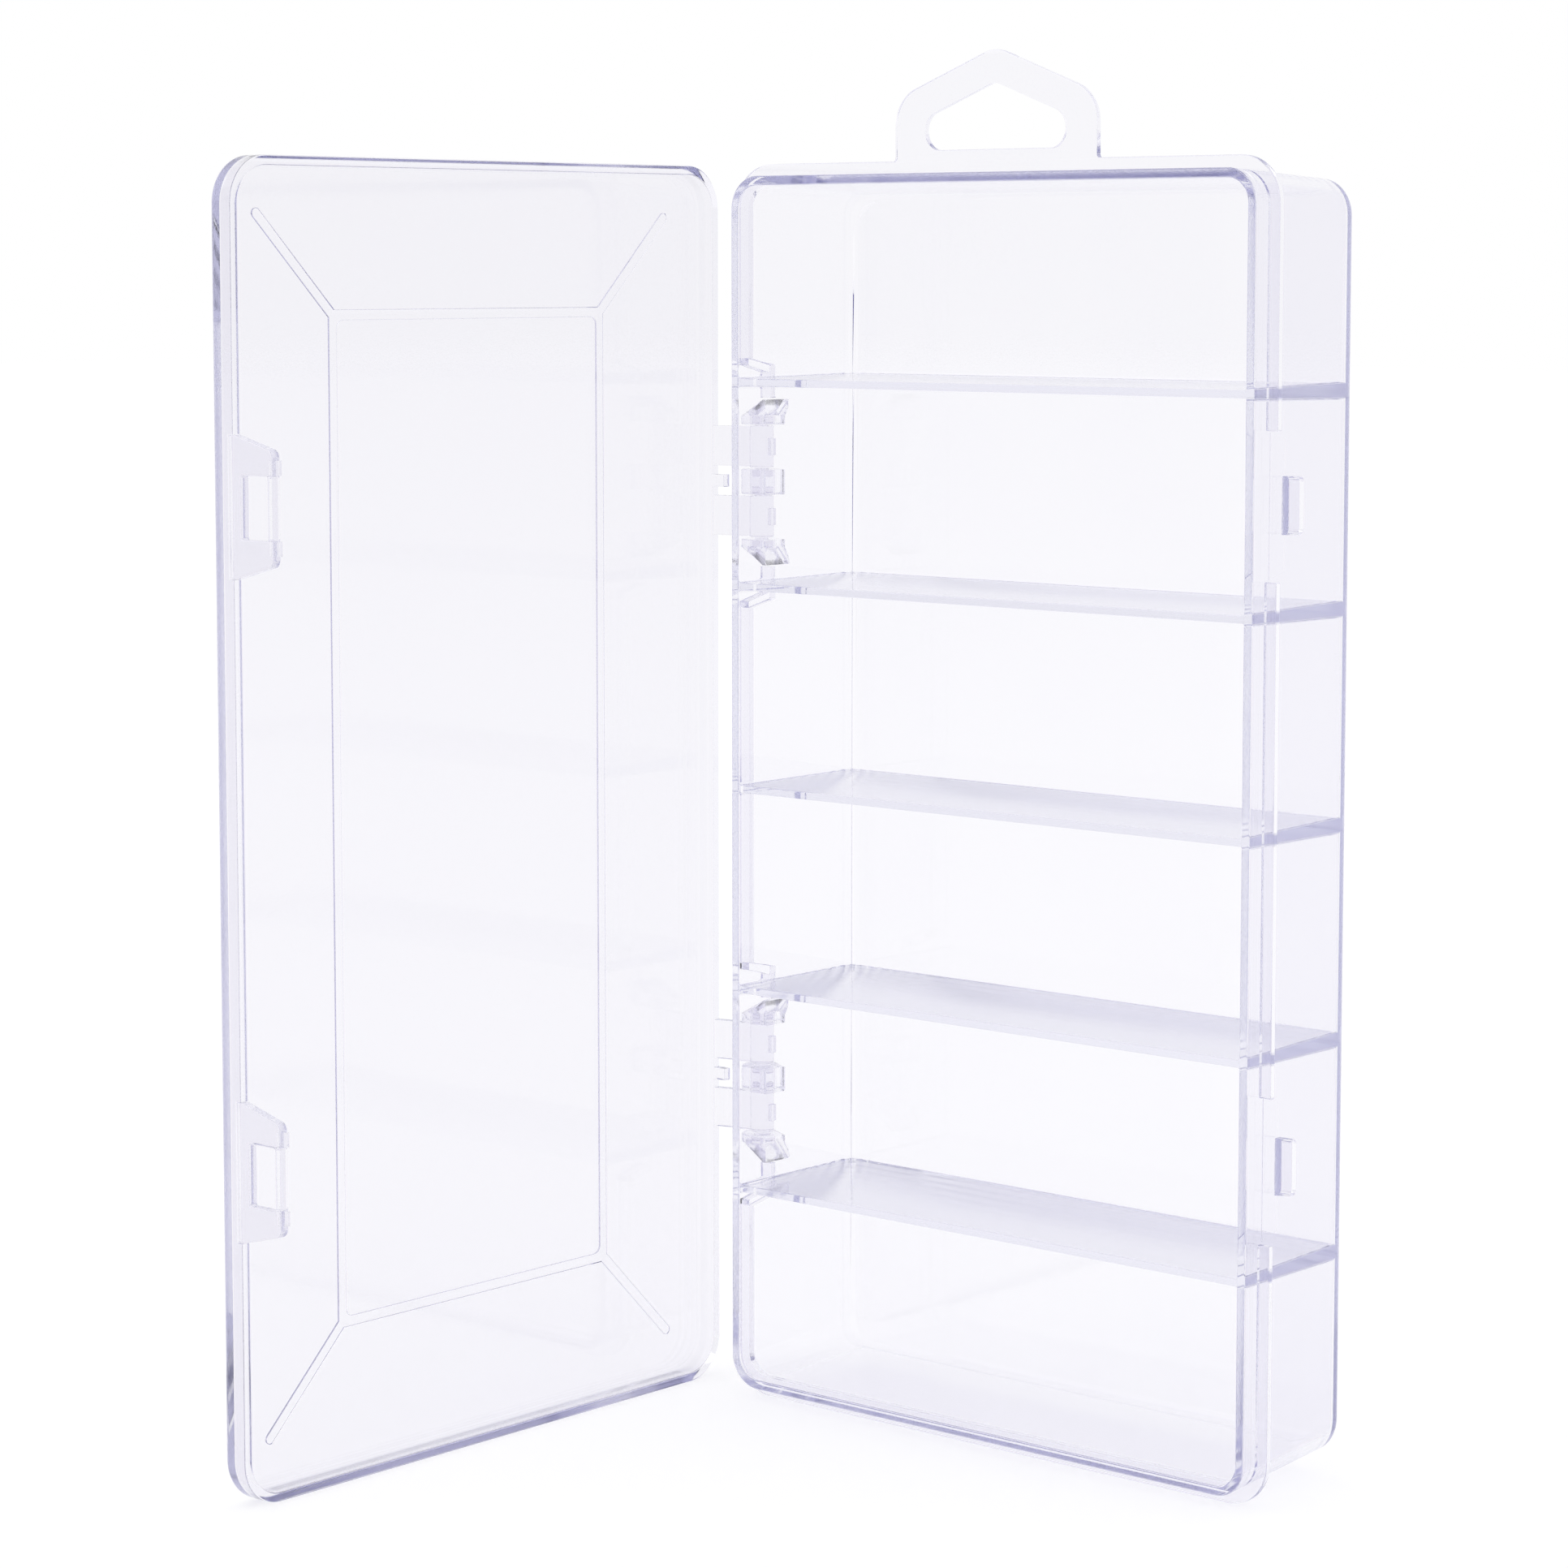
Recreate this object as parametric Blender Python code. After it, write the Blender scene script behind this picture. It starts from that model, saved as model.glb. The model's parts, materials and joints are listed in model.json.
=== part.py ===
"""Clear six-compartment parts box with a hinged snap lid, standing on its short end with the lid open.

The tray is drawn with its rim in the plane Y = 0, its opening towards -Y and its long side upright. The lid and its
latch tabs are drawn closed, and an empty on the hinge line swings them open.
"""

import math

import bmesh
import bpy
from mathutils import Matrix, Vector

MM = 0.001

# Tray
rim_width = 101.3 * MM
rim_height = 196.2 * MM
tray_depth = 28.4 * MM
wall = 1.5 * MM
floor_thickness = 1.5 * MM
wall_draft = 1.3 * MM
rim_corner_radius = 5.2 * MM
floor_edge_radius = 2.6 * MM
inner_edge_radius = 1.2 * MM

# Flange round the rim
flange_setback = 3.3 * MM
flange_reach = 1.9 * MM
flange_thickness = 1.1 * MM
hinge_gap_height = 38.0 * MM
latch_gap_height = 22.0 * MM

# Dividers
compartments = 6
divider_edge = 1.2 * MM
divider_root = 2.0 * MM
divider_setback = 0.2 * MM

# Fits
seat_gap = 0.3 * MM
cut_overrun = 2.0 * MM
join_inset = 0.1 * MM

# Hang tab
tab_foot_width = 39.0 * MM
tab_side_height = 9.6 * MM
tab_peak_height = 17.0 * MM
tab_shoulder_radius = 6.2 * MM
tab_peak_radius = 6.2 * MM
hole_width = 27.0 * MM
hole_rise = 1.6 * MM
hole_side_height = 5.0 * MM
hole_peak_height = 10.1 * MM
hole_end_radius = 2.9 * MM
hole_peak_radius = 2.4 * MM

# Hinges
hinge_pitches_apart = 3
hinge_outside = 3.35 * MM
hinge_behind_rim = 10.45 * MM
lug_radius = 3.3 * MM
lug_thickness = 4.05 * MM
lug_straight = 1.3 * MM
lug_root_behind = 0.9 * MM
lug_taper_share = 0.3
ledge_setback = 8.4 * MM
ledge_slope = 1.3 * MM
knuckle_radius = 1.95 * MM
knuckle_length = 6.7 * MM
knuckle_clearance = 0.3 * MM
pin_radius = 1.1 * MM
pin_length = 1.5 * MM
pin_clearance = 0.3 * MM
arm_thickness = 1.5 * MM
arm_inset = 0.1 * MM
stop_width = 1.1 * MM
stop_height = 2.8 * MM
stop_reach = 0.6 * MM
tongue_height = 2.0 * MM
tongue_reach = 2.4 * MM

# Catches
catch_height = 8.6 * MM
catch_reach = 2.6 * MM
catch_ramp = 1.0 * MM
catch_crest = 1.4 * MM
catch_end_round = 0.9 * MM
catch_end_share = 0.62

# Lid
panel_thickness = 1.2 * MM
skirt_thickness = 1.5 * MM
panel_edge_radius = 1.1 * MM
panel_inner_radius = 0.6 * MM
lid_rim_gap = 0.4 * MM
rib_width = 1.6 * MM
rib_rise = 0.5 * MM
rib_sink = 0.4 * MM
rib_frame_half_width = 28.8 * MM
rib_frame_half_height = 76.6 * MM
rib_frame_corner = 2.4 * MM
rib_arm_run = 15.0 * MM
rib_arm_sink = 0.8 * MM

# Latch tabs
latch_root_height = 21.0 * MM
latch_end_height = 16.7 * MM
latch_reach = 8.4 * MM
latch_thickness = 1.6 * MM
latch_corner_radius = 1.3 * MM
latch_notch_depth = 1.1 * MM
window_height = 9.3 * MM
window_start = 1.6 * MM
window_length = 5.7 * MM
latch_pad_length = 1.4 * MM
latch_pad_rise = 0.45 * MM

# Pose drawn here
lid_open_angle = math.radians(90)

corner_steps = 8
edge_steps = 4
round_steps = 32
smooth_angle = math.radians(35)

# Places that follow from the sizes above
half_width = rim_width / 2
half_height = rim_height / 2
middle_z = flange_reach + half_height
outline_half_width = half_width + flange_reach
outline_half_height = half_height + flange_reach
outline_radius = rim_corner_radius + flange_reach
pitch = rim_height / compartments
station_offset = hinge_pitches_apart * pitch / 2
stations = {"upper": middle_z + station_offset, "lower": middle_z - station_offset}
closed_rim_y = flange_setback - seat_gap
lid_depth = closed_rim_y + lid_rim_gap + panel_thickness
lid_front_y = closed_rim_y - lid_depth
hinge_x = -half_width - hinge_outside
hinge_y = hinge_behind_rim
lug_gap = knuckle_length + 2 * knuckle_clearance
hinge_half_length = (3 * lug_thickness + 2 * lug_gap) / 2
latch_flex_y = closed_rim_y - latch_notch_depth + seat_gap / 2
latch_flex_x = outline_half_width - latch_thickness / 2
catch_back_y = closed_rim_y + window_start + window_length - seat_gap

rest_min_x = hinge_x + lid_front_y - rib_rise - hinge_y
rest_max_x = max(outline_half_width, half_width + catch_reach - wall_draft * catch_back_y / tray_depth)
rest_min_y = hinge_y - (outline_half_width - hinge_x)
rest_max_y = tray_depth
centre_offset = Vector((-(rest_min_x + rest_max_x) / 2, -(rest_min_y + rest_max_y) / 2, 0))


def clear_scene():
    for item in list(bpy.data.objects):
        bpy.data.objects.remove(item, do_unlink=True)


def clear_plastic(name, color, roughness):
    """A plain clear moulded plastic."""
    material = bpy.data.materials.new(name)
    material.use_nodes = True
    shader = material.node_tree.nodes["Principled BSDF"]
    shader.inputs["Base Color"].default_value = color
    shader.inputs["Roughness"].default_value = roughness
    shader.inputs["Metallic"].default_value = 0.0
    shader.inputs["Transmission Weight"].default_value = 0.9
    material.diffuse_color = color
    return material


def empty(name, location, parent=None, turn=0.0):
    """A frame that carries what moves together."""
    frame = bpy.data.objects.new(name, None)
    bpy.context.scene.collection.objects.link(frame)
    frame.location = location
    frame.rotation_euler = (0, 0, turn)
    frame.parent = parent
    return frame


def add_object(name, mesh_maker, parent, material=None, origin=Vector((0, 0, 0))):
    """A closed mesh drawn in tray coordinates, with its origin moved to the frame that carries it."""
    mesh = bpy.data.meshes.new(name)
    shape = bmesh.new()
    mesh_maker(shape)
    bmesh.ops.translate(shape, verts=shape.verts, vec=-origin)
    bmesh.ops.recalc_face_normals(shape, faces=shape.faces)
    shape.to_mesh(mesh)
    shape.free()
    mesh.shade_smooth()
    mesh.set_sharp_from_angle(angle=smooth_angle)
    item = bpy.data.objects.new(name, mesh)
    bpy.context.scene.collection.objects.link(item)
    item.parent = parent
    if material:
        mesh.materials.append(material)
    return item


def guide(name, mesh_maker, parent, origin=Vector((0, 0, 0))):
    """A shape that only cuts or adds to another."""
    item = add_object(name, mesh_maker, parent, origin=origin)
    item.hide_render = True
    item.display_type = "WIRE"
    return item


def combine(item, tool, operation):
    modifier = item.modifiers.new(operation.lower() + "_" + tool.name, "BOOLEAN")
    modifier.operation = operation
    modifier.solver = "EXACT"
    modifier.object = tool


def rounded_outline(points, radii, steps=corner_steps):
    """Rounds each corner of a polygon with an arc tangent to its two sides."""
    outline = []
    count = len(points)
    for index, (point, radius) in enumerate(zip(points, radii)):
        corner = Vector(point)
        if not radius:
            outline.append(corner)
            continue
        before = (Vector(points[index - 1]) - corner).normalized()
        after = (Vector(points[(index + 1) % count]) - corner).normalized()
        half_angle = before.angle(after) / 2
        centre = corner + (before + after).normalized() * (radius / math.sin(half_angle))
        tangent = radius / math.tan(half_angle)
        start = corner + before * tangent - centre
        end = corner + after * tangent - centre
        sweep = start.angle_signed(end)
        for step in range(steps + 1):
            spoke = start.copy()
            spoke.rotate(Matrix.Rotation(-sweep * step / steps, 2))
            outline.append(centre + spoke)
    return outline


def rounded_rectangle(half_x, half_z, radius):
    corners = [(half_x, half_z), (-half_x, half_z), (-half_x, -half_z), (half_x, -half_z)]
    return rounded_outline(corners, [radius] * len(corners))


def loft(shape, rings, closed=False):
    """Joins rings of equal point counts with faces and caps the two ends, or joins the last ring to the first."""
    made = [[shape.verts.new(point) for point in ring] for ring in rings]
    pairs = list(zip(made, made[1:]))
    if closed:
        pairs.append((made[-1], made[0]))
    for ring_a, ring_b in pairs:
        for index in range(len(ring_a)):
            after = (index + 1) % len(ring_a)
            shape.faces.new((ring_a[index], ring_a[after], ring_b[after], ring_b[index]))
    if not closed:
        shape.faces.new(made[0])
        shape.faces.new(made[-1])


def plate_ring(half_x, half_z, radius, y, centre_z=middle_z, centre_x=0.0):
    """A rounded rectangle facing Y."""
    flat = rounded_rectangle(half_x, half_z, radius)
    return [Vector((centre_x + point.x, y, centre_z + point.y)) for point in flat]


def prism_y(shape, outline, y_start, y_end):
    """An outline in X and Z, extruded along Y."""
    rings = [[Vector((point[0], y, point[1])) for point in outline] for y in (y_start, y_end)]
    loft(shape, rings)


def prism_z(shape, outline, z_start, z_end):
    """An outline in X and Y, extruded along Z."""
    rings = [[Vector((point[0], point[1], z)) for point in outline] for z in (z_start, z_end)]
    loft(shape, rings)


def prism_x(shape, outline, x_start, x_end):
    """An outline in Y and Z, extruded along X."""
    rings = [[Vector((x, point[0], point[1])) for point in outline] for x in (x_start, x_end)]
    loft(shape, rings)


def box(shape, low, high):
    prism_z(shape, [(low[0], low[1]), (high[0], low[1]), (high[0], high[1]), (low[0], high[1])], low[2], high[2])


def circle(centre_x, centre_y, radius, start=0.0, sweep=2 * math.pi, steps=round_steps):
    """Points of an arc; a full turn leaves out its last point."""
    count = steps if sweep >= 2 * math.pi else steps + 1
    angles = [start + sweep * step / steps for step in range(count)]
    return [(centre_x + radius * math.cos(angle), centre_y + radius * math.sin(angle)) for angle in angles]


def drafted(y):
    """How far the tray's walls have drawn in at a depth."""
    return wall_draft * y / tray_depth


def tray_shell_mesh(shape):
    """Outer wall from the rim to the rounded floor edge, then back up inside."""
    rings = []
    for step in range(edge_steps, -1, -1):
        angle = math.pi / 2 * step / edge_steps
        y = tray_depth - floor_edge_radius * (1 - math.sin(angle))
        inset = drafted(y) + floor_edge_radius * (1 - math.cos(angle))
        rings.append(plate_ring(half_width - inset, half_height - inset, rim_corner_radius, y))
    rings.append(plate_ring(half_width, half_height, rim_corner_radius, 0))
    inner_radius = rim_corner_radius - wall
    rings.append(plate_ring(half_width - wall, half_height - wall, inner_radius, 0))
    inner_depth = tray_depth - floor_thickness
    for step in range(edge_steps + 1):
        angle = math.pi / 2 * step / edge_steps
        y = inner_depth - inner_edge_radius * (1 - math.sin(angle))
        inset = wall + drafted(y) + inner_edge_radius * (1 - math.cos(angle))
        rings.append(plate_ring(half_width - inset, half_height - inset, inner_radius, y))
    loft(shape, rings)


def flange_mesh(shape):
    """A flat ring that starts inside the wall and stands out all round."""
    front, back = flange_setback, flange_setback + flange_thickness
    sink = wall / 2
    inner = (half_width - sink, half_height - sink, rim_corner_radius - sink)
    outer = (outline_half_width, outline_half_height, outline_radius)
    loft(shape, [plate_ring(*outer, front), plate_ring(*outer, back), plate_ring(*inner, back), plate_ring(*inner, front)], closed=True)


def flange_gap_mesh(side, centre_z, height):
    """Takes the flange away where a hinge arm or a latch tab passes."""

    def mesh(shape):
        near = half_width + seat_gap / 2
        far = outline_half_width + cut_overrun
        low_x, high_x = sorted((side * near, side * far))
        low = (low_x, flange_setback - cut_overrun, centre_z - height / 2)
        high = (high_x, flange_setback + flange_thickness + cut_overrun, centre_z + height / 2)
        box(shape, low, high)

    return mesh


def ledge_mesh(centre_z, side):
    """The flange's step back at one end of a hinge, from the flange to the end lug."""

    def mesh(shape):
        outer = hinge_gap_height / 2 + flange_thickness
        corner = hinge_gap_height / 2
        start = hinge_half_length + seat_gap
        front, back = flange_setback + join_inset, flange_setback + flange_thickness - join_inset
        outline = [
            (front, outer),
            (front, corner),
            (ledge_setback, corner - ledge_slope),
            (ledge_setback, start),
            (ledge_setback + flange_thickness, start),
            (ledge_setback + flange_thickness, corner),
            (back, outer),
        ]
        placed = [(y, centre_z + side * z) for y, z in outline]
        prism_x(shape, placed, -half_width + wall / 2 + join_inset, -outline_half_width + join_inset)

    return mesh


def build_tray_shell(frame, material):
    shell = add_object("tray_shell", tray_shell_mesh, frame, material)
    combine(shell, guide("flange_ring", flange_mesh, frame), "UNION")
    for label, centre_z in stations.items():
        hinge_cut = guide("hinge_cut_" + label, flange_gap_mesh(-1, centre_z, hinge_gap_height), frame)
        combine(shell, hinge_cut, "DIFFERENCE")
        latch_cut = guide("latch_cut_" + label, flange_gap_mesh(1, centre_z, latch_gap_height), frame)
        combine(shell, latch_cut, "DIFFERENCE")
        for end, side in (("top", 1), ("bottom", -1)):
            combine(shell, guide(f"ledge_{label}_{end}", ledge_mesh(centre_z, side), frame), "UNION")
    return shell


def divider_mesh(centre_z):
    """A wall to wall plate, thicker at the floor, with its front edge just behind the rim."""

    def mesh(shape):
        front = divider_setback
        back = tray_depth - floor_thickness - seat_gap
        turn = back - inner_edge_radius
        rings = []
        for y, extra in ((front, 0), (turn, 0), (back, inner_edge_radius)):
            grown = (divider_root - divider_edge) * (y - front) / (back - front)
            thick = (divider_edge + grown) / 2
            reach = half_width - wall - drafted(y) - seat_gap - extra
            rings.append([Vector((x, y, centre_z + z)) for x, z in ((reach, thick), (-reach, thick), (-reach, -thick), (reach, -thick))])
        loft(shape, rings)

    return mesh


def build_dividers(frame, material):
    first = middle_z + (compartments / 2 - 1) * pitch
    for index in range(compartments - 1):
        add_object(f"divider_{index + 1}", divider_mesh(first - index * pitch), frame, material)


def peaked_outline(half_width_here, foot, side, peak, radii):
    """A plate with upright sides and two slopes up to a peak."""
    points = [(half_width_here, foot), (half_width_here, side), (0, peak), (-half_width_here, side), (-half_width_here, foot)]
    return rounded_outline(points, radii)


def hang_tab_mesh(shape):
    """A plate with wide shoulders that stands on the top flange."""
    base = middle_z + outline_half_height
    shoulder, peak = tab_shoulder_radius, tab_peak_radius
    radii = [0, shoulder, peak, shoulder, 0]
    outline = peaked_outline(tab_foot_width / 2, base + seat_gap, base + tab_side_height, base + tab_peak_height, radii)
    prism_y(shape, outline, flange_setback, flange_setback + flange_thickness)


def hang_hole_mesh(shape):
    """The delta-shaped hole for a display hook."""
    low = middle_z + outline_half_height + hole_rise
    end, peak = hole_end_radius, hole_peak_radius
    radii = [end, end, peak, end, end]
    outline = peaked_outline(hole_width / 2, low, low + hole_side_height, low + hole_peak_height, radii)
    front, back = flange_setback - cut_overrun, flange_setback + flange_thickness + cut_overrun
    prism_y(shape, outline, front, back)


def build_hang_tab(frame, material):
    tab = add_object("hang_tab", hang_tab_mesh, frame, material)
    combine(tab, guide("hang_hole", hang_hole_mesh, frame), "DIFFERENCE")


def lug_outline(reach_share):
    """A lug's section: a round nose about the pin, with straight sides back to the tray's wall."""
    root_x = -half_width + drafted(hinge_y - lug_radius) - seat_gap
    nose = circle(hinge_x, hinge_y, lug_radius, math.pi / 2, math.pi, round_steps // 2)
    back_root = (root_x, hinge_y + lug_root_behind)
    front_root = (root_x, hinge_y - lug_radius)
    return [(root_x + (x - root_x) * reach_share, y) for x, y in [back_root] + nose + [front_root]]


def end_lug_mesh(inner_z, side):
    """An end lug that slopes back to the wall on the side away from the knuckle."""

    def mesh(shape):
        stops = ((0, 1), (lug_straight, 1), (lug_thickness, lug_taper_share))
        rings = [[Vector((x, y, inner_z + side * z)) for x, y in lug_outline(share)] for z, share in stops]
        loft(shape, rings)

    return mesh


def middle_lug_mesh(centre_z):
    def mesh(shape):
        prism_z(shape, lug_outline(1), centre_z - lug_thickness / 2, centre_z + lug_thickness / 2)

    return mesh


def pin_bore_mesh(low_z, high_z):
    def mesh(shape):
        prism_z(shape, circle(hinge_x, hinge_y, pin_radius + pin_clearance), low_z, high_z)

    return mesh


def build_hinge_lugs(frame, material):
    bore_depth = pin_length - knuckle_clearance + pin_clearance
    for label, centre_z in stations.items():
        inner = hinge_half_length - lug_thickness
        ends = ((1, centre_z + inner, 1), (3, centre_z - inner, -1))
        for number, inner_z, side in ends:
            lug = add_object(f"hinge_lug_{label}_{number}", end_lug_mesh(inner_z, side), frame, material)
            low, high = sorted((inner_z - side * cut_overrun, inner_z + side * bore_depth))
            combine(lug, guide(f"pin_bore_{label}_{number}", pin_bore_mesh(low, high), frame), "DIFFERENCE")
        middle = add_object(f"hinge_lug_{label}_2", middle_lug_mesh(centre_z), frame, material)
        reach = lug_thickness / 2 + cut_overrun
        combine(middle, guide(f"pin_bore_{label}_2", pin_bore_mesh(centre_z - reach, centre_z + reach), frame), "DIFFERENCE")


def catch_mesh(centre_z):
    """A ramped catch with rounded ends, whose back face holds the latch bar."""

    def mesh(shape):
        root_x = half_width - drafted(catch_back_y - catch_crest - catch_ramp) + seat_gap
        tip_x = half_width - drafted(catch_back_y) + catch_reach
        back = catch_back_y
        crest = back - catch_crest
        front = crest - catch_ramp
        half = catch_height / 2
        rings = []
        for side in (-1, 1):
            steps = range(edge_steps + 1) if side < 0 else range(edge_steps, -1, -1)
            for step in steps:
                angle = math.pi / 2 * step / edge_steps
                share = catch_end_share + (1 - catch_end_share) * math.sin(angle)
                z = centre_z + side * (half - catch_end_round * (1 - math.cos(angle)))
                tip = root_x + (tip_x - root_x) * share
                rings.append([Vector((x, y, z)) for x, y in ((root_x, front), (tip, crest), (tip, back), (root_x, back))])
        loft(shape, rings)

    return mesh


def build_catches(frame, material):
    for label, centre_z in stations.items():
        add_object("catch_" + label, catch_mesh(centre_z), frame, material)


def lid_shell_mesh(shape):
    """The panel's rounded edge down to the skirt's rim, then back up inside."""
    rings = []
    for step in range(edge_steps + 1):
        angle = math.pi / 2 * step / edge_steps
        inset = panel_edge_radius * (1 - math.sin(angle))
        y = lid_front_y + panel_edge_radius * (1 - math.cos(angle))
        rings.append(plate_ring(outline_half_width - inset, outline_half_height - inset, outline_radius - inset, y))
    rings.append(plate_ring(outline_half_width, outline_half_height, outline_radius, closed_rim_y))
    inside = lid_front_y + panel_thickness
    for step in range(edge_steps, -2, -1):
        if step == edge_steps:
            inset, y = skirt_thickness, closed_rim_y
        else:
            angle = math.pi / 2 * (edge_steps - 1 - step) / edge_steps
            inset = skirt_thickness + panel_inner_radius * (1 - math.cos(angle))
            y = inside + panel_inner_radius * (1 - math.sin(angle))
        rings.append(plate_ring(outline_half_width - inset, outline_half_height - inset, outline_radius - inset, y))
    loft(shape, rings)


def rib_frame_mesh(shape):
    """A rounded rectangular rib on the panel's outer face."""
    half = rib_width / 2
    front, back = lid_front_y - rib_rise, lid_front_y + rib_sink
    outer = (rib_frame_half_width + half, rib_frame_half_height + half, rib_frame_corner + half)
    inner = (rib_frame_half_width - half, rib_frame_half_height - half, rib_frame_corner - half)
    loft(shape, [plate_ring(*outer, front), plate_ring(*outer, back), plate_ring(*inner, back), plate_ring(*inner, front)], closed=True)


def rib_arm_mesh(side_x, side_z):
    """A round-ended rib from a corner of the rib frame towards the lid's corner."""

    def mesh(shape):
        start = Vector((rib_frame_half_width, rib_frame_half_height))
        direction = Vector((1, 1)).normalized()
        across = Vector((-direction.y, direction.x)) * (rib_width / 2)
        start = start - direction * rib_arm_sink
        end = start + direction * (rib_arm_run * math.sqrt(2))
        outline = [start - across]
        for step in range(corner_steps + 1):
            angle = -math.pi / 2 + math.pi * step / corner_steps
            outline.append(end + direction * (rib_width / 2 * math.cos(angle)) + across * math.sin(angle))
        outline.append(start + across)
        placed = [(side_x * point.x, middle_z + side_z * point.y) for point in outline]
        prism_y(shape, placed, lid_front_y - rib_rise, lid_front_y + rib_sink)

    return mesh


def latch_notch_mesh(centre_z):
    """The skirt's cut for the root of a latch tab."""

    def mesh(shape):
        half = latch_root_height / 2 + seat_gap
        low = (outline_half_width - skirt_thickness - cut_overrun, closed_rim_y - latch_notch_depth, centre_z - half)
        high = (outline_half_width + cut_overrun, closed_rim_y + cut_overrun, centre_z + half)
        box(shape, low, high)

    return mesh


def tongue_mesh(centre_z):
    """The short tongue between the two arms of a hinge."""

    def mesh(shape):
        low = (-outline_half_width, closed_rim_y - panel_thickness, centre_z - tongue_height / 2)
        high = (-outline_half_width + skirt_thickness, closed_rim_y + tongue_reach, centre_z + tongue_height / 2)
        box(shape, low, high)

    return mesh


def build_lid_shell(frame, origin, material):
    shell = add_object("lid_shell", lid_shell_mesh, frame, material, origin)
    combine(shell, guide("rib_frame", rib_frame_mesh, frame, origin), "UNION")
    for side_x in (-1, 1):
        for side_z in (-1, 1):
            name = f"rib_arm_{'right' if side_x > 0 else 'left'}_{'top' if side_z > 0 else 'bottom'}"
            combine(shell, guide(name, rib_arm_mesh(side_x, side_z), frame, origin), "UNION")
    for label, centre_z in stations.items():
        combine(shell, guide("tongue_" + label, tongue_mesh(centre_z), frame, origin), "UNION")
        combine(shell, guide("latch_notch_" + label, latch_notch_mesh(centre_z), frame, origin), "DIFFERENCE")


def knuckle_mesh(centre_z):
    """A round knuckle on the hinge line."""

    def mesh(shape):
        half = knuckle_length / 2
        prism_z(shape, circle(hinge_x, hinge_y, knuckle_radius), centre_z - half, centre_z + half)

    return mesh


def pin_mesh(centre_z):
    """The pin that stands out of both ends of a knuckle."""

    def mesh(shape):
        half = knuckle_length / 2 + pin_length
        prism_z(shape, circle(hinge_x, hinge_y, pin_radius), centre_z - half, centre_z + half)

    return mesh


def arm_mesh(centre_z):
    """The arm from the skirt's rim to the hinge line."""

    def mesh(shape):
        start = Vector((-outline_half_width + skirt_thickness / 2, closed_rim_y + seat_gap))
        end = Vector((hinge_x, hinge_y))
        along = (end - start).normalized()
        across = Vector((-along.y, along.x)) * (arm_thickness / 2)
        level = skirt_thickness / 2
        outline = [(start.x - level, start.y), (start.x + level, start.y), tuple(end - across), tuple(end + across)]
        half = knuckle_length / 2 - arm_inset
        prism_z(shape, outline, centre_z - half, centre_z + half)

    return mesh


def stop_mesh(centre_z):
    """The small nib on the knuckle's far side."""

    def mesh(shape):
        half = stop_height / 2
        low = (hinge_x - stop_width / 2, hinge_y, centre_z - half)
        high = (hinge_x + stop_width / 2, hinge_y + knuckle_radius + stop_reach, centre_z + half)
        box(shape, low, high)

    return mesh


def build_knuckles(frame, origin, material):
    """Two knuckles a hinge, each with its arm, its nib and a pin that runs into the lugs on both sides."""
    spacing = lug_thickness + lug_gap
    for label, centre_z in stations.items():
        for number, side in ((1, 1), (2, -1)):
            place = centre_z + side * spacing / 2
            tag = f"{label}_{number}"
            knuckle = add_object("lid_knuckle_" + tag, knuckle_mesh(place), frame, material, origin)
            combine(knuckle, guide("pin_" + tag, pin_mesh(place), frame, origin), "UNION")
            combine(knuckle, guide("arm_" + tag, arm_mesh(place), frame, origin), "UNION")
            combine(knuckle, guide("stop_" + tag, stop_mesh(place), frame, origin), "UNION")


def latch_outline(centre_z):
    """A latch tab's outline in Y and Z, narrower at its free end."""
    root_y = closed_rim_y - latch_notch_depth + seat_gap
    end_y = closed_rim_y + latch_reach
    root, end = latch_root_height / 2, latch_end_height / 2
    points = [(root_y, -root), (closed_rim_y + seat_gap, -root), (end_y, -end), (end_y, end), (closed_rim_y + seat_gap, root), (root_y, root)]
    radii = [0, 0, latch_corner_radius, latch_corner_radius, 0, 0]
    return [(point[0], centre_z + point[1]) for point in rounded_outline(points, radii)]


def latch_mesh(centre_z):
    def mesh(shape):
        prism_x(shape, latch_outline(centre_z), outline_half_width - latch_thickness, outline_half_width)

    return mesh


def latch_window_mesh(centre_z):
    """The window that the catch comes through."""

    def mesh(shape):
        start = closed_rim_y + window_start
        low = (outline_half_width - latch_thickness - cut_overrun, start, centre_z - window_height / 2)
        high = (outline_half_width + cut_overrun, start + window_length, centre_z + window_height / 2)
        box(shape, low, high)

    return mesh


def latch_pad_mesh(centre_z, side):
    """A thicker corner of the tab beside its bar, on the side towards the tray."""

    def mesh(shape):
        inner_z = window_height / 2 + join_inset
        outer_z = latch_end_height / 2 - latch_corner_radius - join_inset
        low_z, high_z = sorted((centre_z + side * inner_z, centre_z + side * outer_z))
        inside = outline_half_width - latch_thickness
        end_y = closed_rim_y + latch_reach - join_inset
        low = (inside - latch_pad_rise, end_y - latch_pad_length, low_z)
        high = (inside + latch_thickness / 2, end_y, high_z)
        box(shape, low, high)

    return mesh


def build_latches(lid_frame, hinge_origin, material):
    """Each tab flexes about its root in the skirt, so it has a frame of its own there."""
    for label, centre_z in stations.items():
        origin = Vector((latch_flex_x, latch_flex_y, centre_z))
        frame = empty("latch_flex_" + label, origin - hinge_origin, lid_frame)
        tab = add_object("latch_tab_" + label, latch_mesh(centre_z), frame, material, origin)
        for end, side in (("top", 1), ("bottom", -1)):
            pad = guide(f"latch_pad_{label}_{end}", latch_pad_mesh(centre_z, side), frame, origin)
            combine(tab, pad, "UNION")
        combine(tab, guide("latch_window_" + label, latch_window_mesh(centre_z), frame, origin), "DIFFERENCE")


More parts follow.
